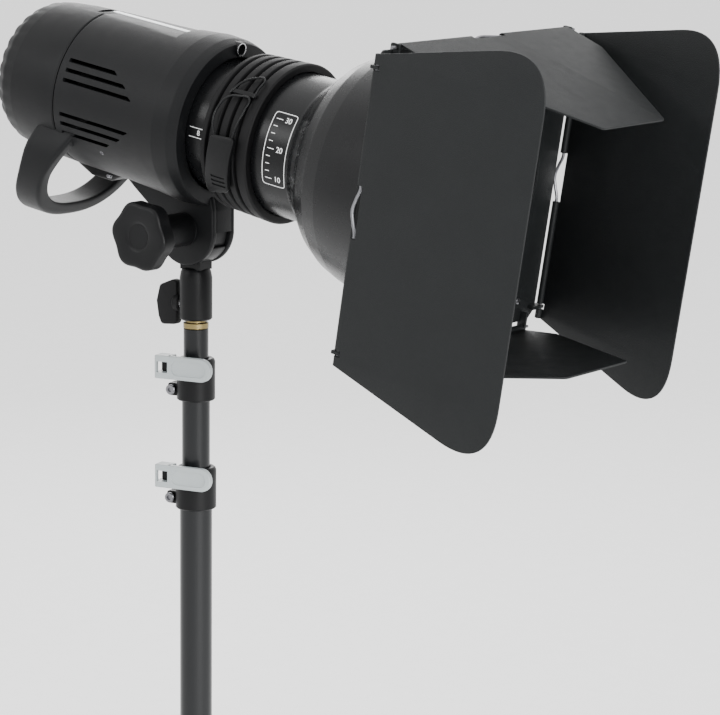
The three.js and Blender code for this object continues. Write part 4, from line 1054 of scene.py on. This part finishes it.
def spigot_and_tubes():
    top, plug, foot = BORE_TOP - 1, TOP_R - SKIN - 0.3, FLANGE_BOTTOM - 18
    profile = [(top, 0), (top, SPIGOT_R - 1), (top - 1, SPIGOT_R), (SCREW_Z + 6, SPIGOT_R),
               (SCREW_Z + 5, SPIGOT_R - 1), (SCREW_Z - 5, SPIGOT_R - 1), (SCREW_Z - 6, SPIGOT_R),
               (FLANGE_TOP, SPIGOT_R), (FLANGE_TOP, TOP_R - 0.6), (FLANGE_TOP - 0.6, TOP_R + 0.2),
               (FLANGE_BOTTOM + 0.4, TOP_R + 0.2), (FLANGE_BOTTOM, TOP_R - 0.2), (FLANGE_BOTTOM, plug),
               (foot, plug), (foot, 0)]
    spigot = column_lathe(profile, on_axis=True)
    wrap_up("spigot_turned", spigot, AS_GIVEN, BRASS, "top_riser", ["spigot"])
    stages = (("top", TOP_R, FLANGE_BOTTOM - 0.3, TOP_LENGTH, "top_riser"),
              ("middle", MID_R, UPPER_TOP - 6.3, MID_LENGTH, "middle_riser"),
              ("base", BASE_R, LOWER_TOP - 6.3, at_height(LOWER_TOP - 6.3) - CUP_FLOOR - 0.3, "stand_base"))
    for name, radius, top, length, body in stages:
        low = top - length
        tube = [(low, radius - 0.3), (low + 0.3, radius), (top - 0.3, radius), (top, radius - 0.3),
                (top, radius - SKIN), (low, radius - SKIN)]
        wrap_up(f"{name}_stage", column_lathe(tube), AS_GIVEN, TUBE, body, [f"{name}_tube"])


# ---- lever clamps
CLAMP_TURN = 11.0
CLAMP = {"x": -18.0, "y": -15.5, "cam": 6.5, "height": 18.4, "front": 25.0, "plate_y": -18.0, "thick": 5.0,
         "fork": 8.6, "drop": 5.5}
PIN_R = 2.2
HINGE_BORE = 2.6              # holes for the lever's pin and for the clamp bolt
TONGUE_R = 3.4
EAR_REACH = 7.5
BOLT_OUT = 3.8


def clamp_collar(name, outer, lower, upper, top, body):
    bottom = top - CLAMP_HEIGHT
    shoulder = top - 6
    profile = [(bottom, outer - 0.8), (bottom + 0.8, outer), (top - CLAMP_HEIGHT / 2, outer),
               (top - 2.5, outer), (top - 1, outer - 0.6), (top, outer - 1.8), (top, upper + 1),
               (top - 0.6, upper + 0.4), (shoulder, upper + 0.4), (shoulder, lower + 0.3),
               (bottom, lower + 0.3)]
    ring = column_lathe(profile, FINE)
    x, y, fork, mid = CLAMP["x"], CLAMP["y"], CLAMP["fork"] / 2 - 0.5, at_height(top - CLAMP["drop"])
    tongue = [(0, y - 2.5), (0, y + TONGUE_R), *arc(x, y, TONGUE_R, 90, 270, 14)]
    tongue_body = cut(plate(fillet(tongue, 0.6), mid - fork, mid + fork, 0.4),
                      rod("Z", HINGE_BORE, mid - 9, mid + 9, (x, y, 0)),
                      rod("Z", outer - 1, mid - 30, mid + 30))
    bolt_x, ear_z = -outer - BOLT_OUT, at_height(bottom + 7)
    bolt = (bolt_x, 0, ear_z)
    ear = fillet(rectangle(-outer - EAR_REACH, 0, ear_z - 5, ear_z + 5), 2)
    ear_body = cut(upright(ear, -5, 6, 0.6), rod("Y", HINGE_BORE, -20, 20, bolt),
                   rod("Z", outer - 1, ear_z - 30, ear_z + 30))
    split = box_mesh(-outer - 9, -outer + 0.5, -0.45, 0.75, at_height(bottom) - 1, at_height(bottom) + 13)
    turned = turn("Z", CLAMP_TURN)
    wrap_up(f"{name}_collar_body", joined(ring, tongue_body, cut(ear_body, split)), turned, DARK, body,
            [f"{name}_clamp"], 38)
    head = cut(rod("Y", 4, -8.4, -5.3, bolt, 0.6), upright(hexagon(bolt_x, ear_z, 2), -9.5, -6.8, 0.01))
    nut = upright(hexagon(bolt_x, ear_z, 4.2), 6.3, 9, 0.3)
    wrap_up(f"{name}_bolt_body", joined(head, rod("Y", PIN_R, -7, 8, bolt), nut), turned, DULL, body,
            [f"{name}_clamp_bolt"])


def clamp_lever(name, top):
    x, y, cam, front = CLAMP["x"], CLAMP["y"], CLAMP["cam"], CLAMP["front"]
    plate_y, thick, fork, half = CLAMP["plate_y"], CLAMP["thick"], CLAMP["fork"] / 2, CLAMP["height"] / 2
    far = front - half
    blade_outline = [(x + 5, -half), *arc(far, 0, half, -90, 90, 24), (x + 5, half)]
    blade = upright(blade_outline, plate_y - thick, plate_y, 1.1)
    dish_outline = [*arc(x + 14, 0, half - 3.4, 90, 270, 16), *arc(far - 1, 0, half - 3.4, -90, 90, 16)]
    dish = upright(dish_outline, plate_y - thick - 3, plate_y - thick + 0.7, 0.3)
    block = plate(fillet(rectangle(x - cam, x + cam + 1, plate_y - thick, y + 4), 1.4), -half, half, 0.8)
    slot = box_mesh(x - cam - 2, x + cam, y - 4.6, y + 14, -fork, fork)
    window = box_mesh(x - cam + 2, x + 5, plate_y - thick - 2, y + 14, -fork, fork)
    pin = rod("Z", PIN_R, -half + 1, half - 1, (x, y, 0))
    body = joined(cut(blade, dish), cut(block, slot, window), pin)
    place = turn("Z", CLAMP_TURN) @ shift(0, 0, at_height(top - CLAMP["drop"]))
    wrap_up(f"{name}_lever_body", body, place, LEVER, f"{name}_lever", [f"{name}_clamp_lever"], 38)


def clamps():
    clamp_collar("upper", 15.0, MID_R, TOP_R, UPPER_TOP, "middle_riser")
    clamp_collar("lower", 16.0, BASE_R, MID_R, LOWER_TOP, "stand_base")
    clamp_lever("upper", UPPER_TOP)
    clamp_lever("lower", LOWER_TOP)


# ---- legs
LEG_COUNT = 3
SPREAD = 50.0
LEG_LENGTH = 527.0
LEG_R = 8.0


def leg_parts():
    for name, material in (("leg_collar", RUBBER), ("leg_knob", DARK), ("brace_collar", RUBBER)):
        carry_over(name, material, 0.6)
    for i in range(1, LEG_COUNT + 1):
        joint = JOINTS[f"leg_{i}_fold"]
        azimuth = 360 / LEG_COUNT * (i - 1)
        place = Matrix.Translation(Vector(joint["pos_m"]) / MM) @ turn("Z", azimuth) @ turn("Y", -SPREAD)
        tube = lathe([(-LEG_LENGTH + 6, LEG_R - 0.3), (-LEG_LENGTH + 6.3, LEG_R), (-24.3, LEG_R),
                      (-24, LEG_R - 0.3), (-24, 6), (-LEG_LENGTH + 6, 6)], MEDIUM)
        tube.transform(COLUMN)
        wrap_up(f"leg_{i}_tube", tube, place, TUBE, f"leg_{i}_body")
        carry_over(f"leg_{i}", TUBE, 0.4)
        carry_over(f"foot_{i}", RUBBER, 0.5)
        carry_over(f"brace_{i}", TUBE, 0.4)


# ---- studio
CAMERA = {"place": (1.4596, -1.7472, 1.1138), "azimuth": 36.652, "elevation": 10.645, "roll": 0.591,
          "lens": 148.15, "sensor": 36.0}
FLOOR_SIZE = 14
WORLD_STRENGTH = 1.7
SUBJECT = (0.0, 0.0, 0.8)
LIGHTS = (                    # name, place, target, size and power
    ("overhead", (0.0, 0.4, 4.2), (0.0, 0.4, 0.0), (6.0, 6.0), 90),
    ("key", (-1.5, -2.6, 2.3), SUBJECT, (1.3, 1.0), 34),
    ("fill", (2.7, -1.1, 1.3), SUBJECT, (1.6, 1.6), 150),
    ("back", (-1.8, 2.0, 1.9), SUBJECT, (1.4, 1.2), 26),
)


def camera():
    data = bpy.data.cameras.new("camera")
    data.lens = CAMERA["lens"]
    data.sensor_width = CAMERA["sensor"]
    data.clip_end = 100
    obj = linked("camera", data)
    a, e, roll = (radians(CAMERA[key]) for key in ("azimuth", "elevation", "roll"))
    back = Vector((sin(a) * cos(e), -cos(a) * cos(e), sin(e)))
    right = Vector((cos(a), sin(a), 0))
    up = back.cross(right)
    level_right = right * cos(roll) + up * sin(roll)
    level_up = up * cos(roll) - right * sin(roll)
    rotation = Matrix((level_right, level_up, back)).transposed()
    obj.matrix_world = Matrix.Translation(CAMERA["place"]) @ rotation.to_4x4()
    bpy.context.scene.camera = obj


def area_light(name, place, target, size, power):
    data = bpy.data.lights.new(name, "AREA")
    data.shape = "RECTANGLE"
    data.size, data.size_y = size
    data.energy = power
    obj = linked(name, data)
    obj.location = place
    obj.rotation_euler = (Vector(place) - Vector(target)).to_track_quat("Z", "Y").to_euler()


def studio():
    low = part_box("foot_1")[0].z
    mesh = bmesh.new()
    bmesh.ops.create_grid(mesh, x_segments=2, y_segments=2, size=FLOOR_SIZE)
    data = bpy.data.meshes.new("floor")
    mesh.to_mesh(data)
    mesh.free()
    floor = linked("floor", data)
    floor.location.z = low
    pale = surface("pale_floor", (0.90, 0.90, 0.90), 0.7, grain=40.0, relief=0.01, mottling=0.01)
    floor.data.materials.append(pale)
    world = bpy.data.worlds.new("studio")
    world.use_nodes = True
    background = world.node_tree.nodes["Background"]
    background.inputs["Color"].default_value = (1, 1, 1, 1)
    background.inputs["Strength"].default_value = WORLD_STRENGTH
    bpy.context.scene.world = world
    for settings in LIGHTS:
        area_light(*settings)


def build():
    camera()
    housing_shell()
    housing_lobe()
    rear_shell()
    screw_head("housing_screw", -46.6, 61.6, -36)
    top_strip()
    carrying_handle()
    front_cylinder()
    umbrella_socket()
    lamp_inside()
    knob_body()
    pivot_bolt()
    rear_controls()
    bowl()
    neck_label()
    ribbed_collar()
    latch_parts()
    for settings in DOORS:
        door(*settings)
    barn_frame()
    bracket()
    wing_screw()
    spigot_and_tubes()
    clamps()
    leg_parts()
    studio()


build()
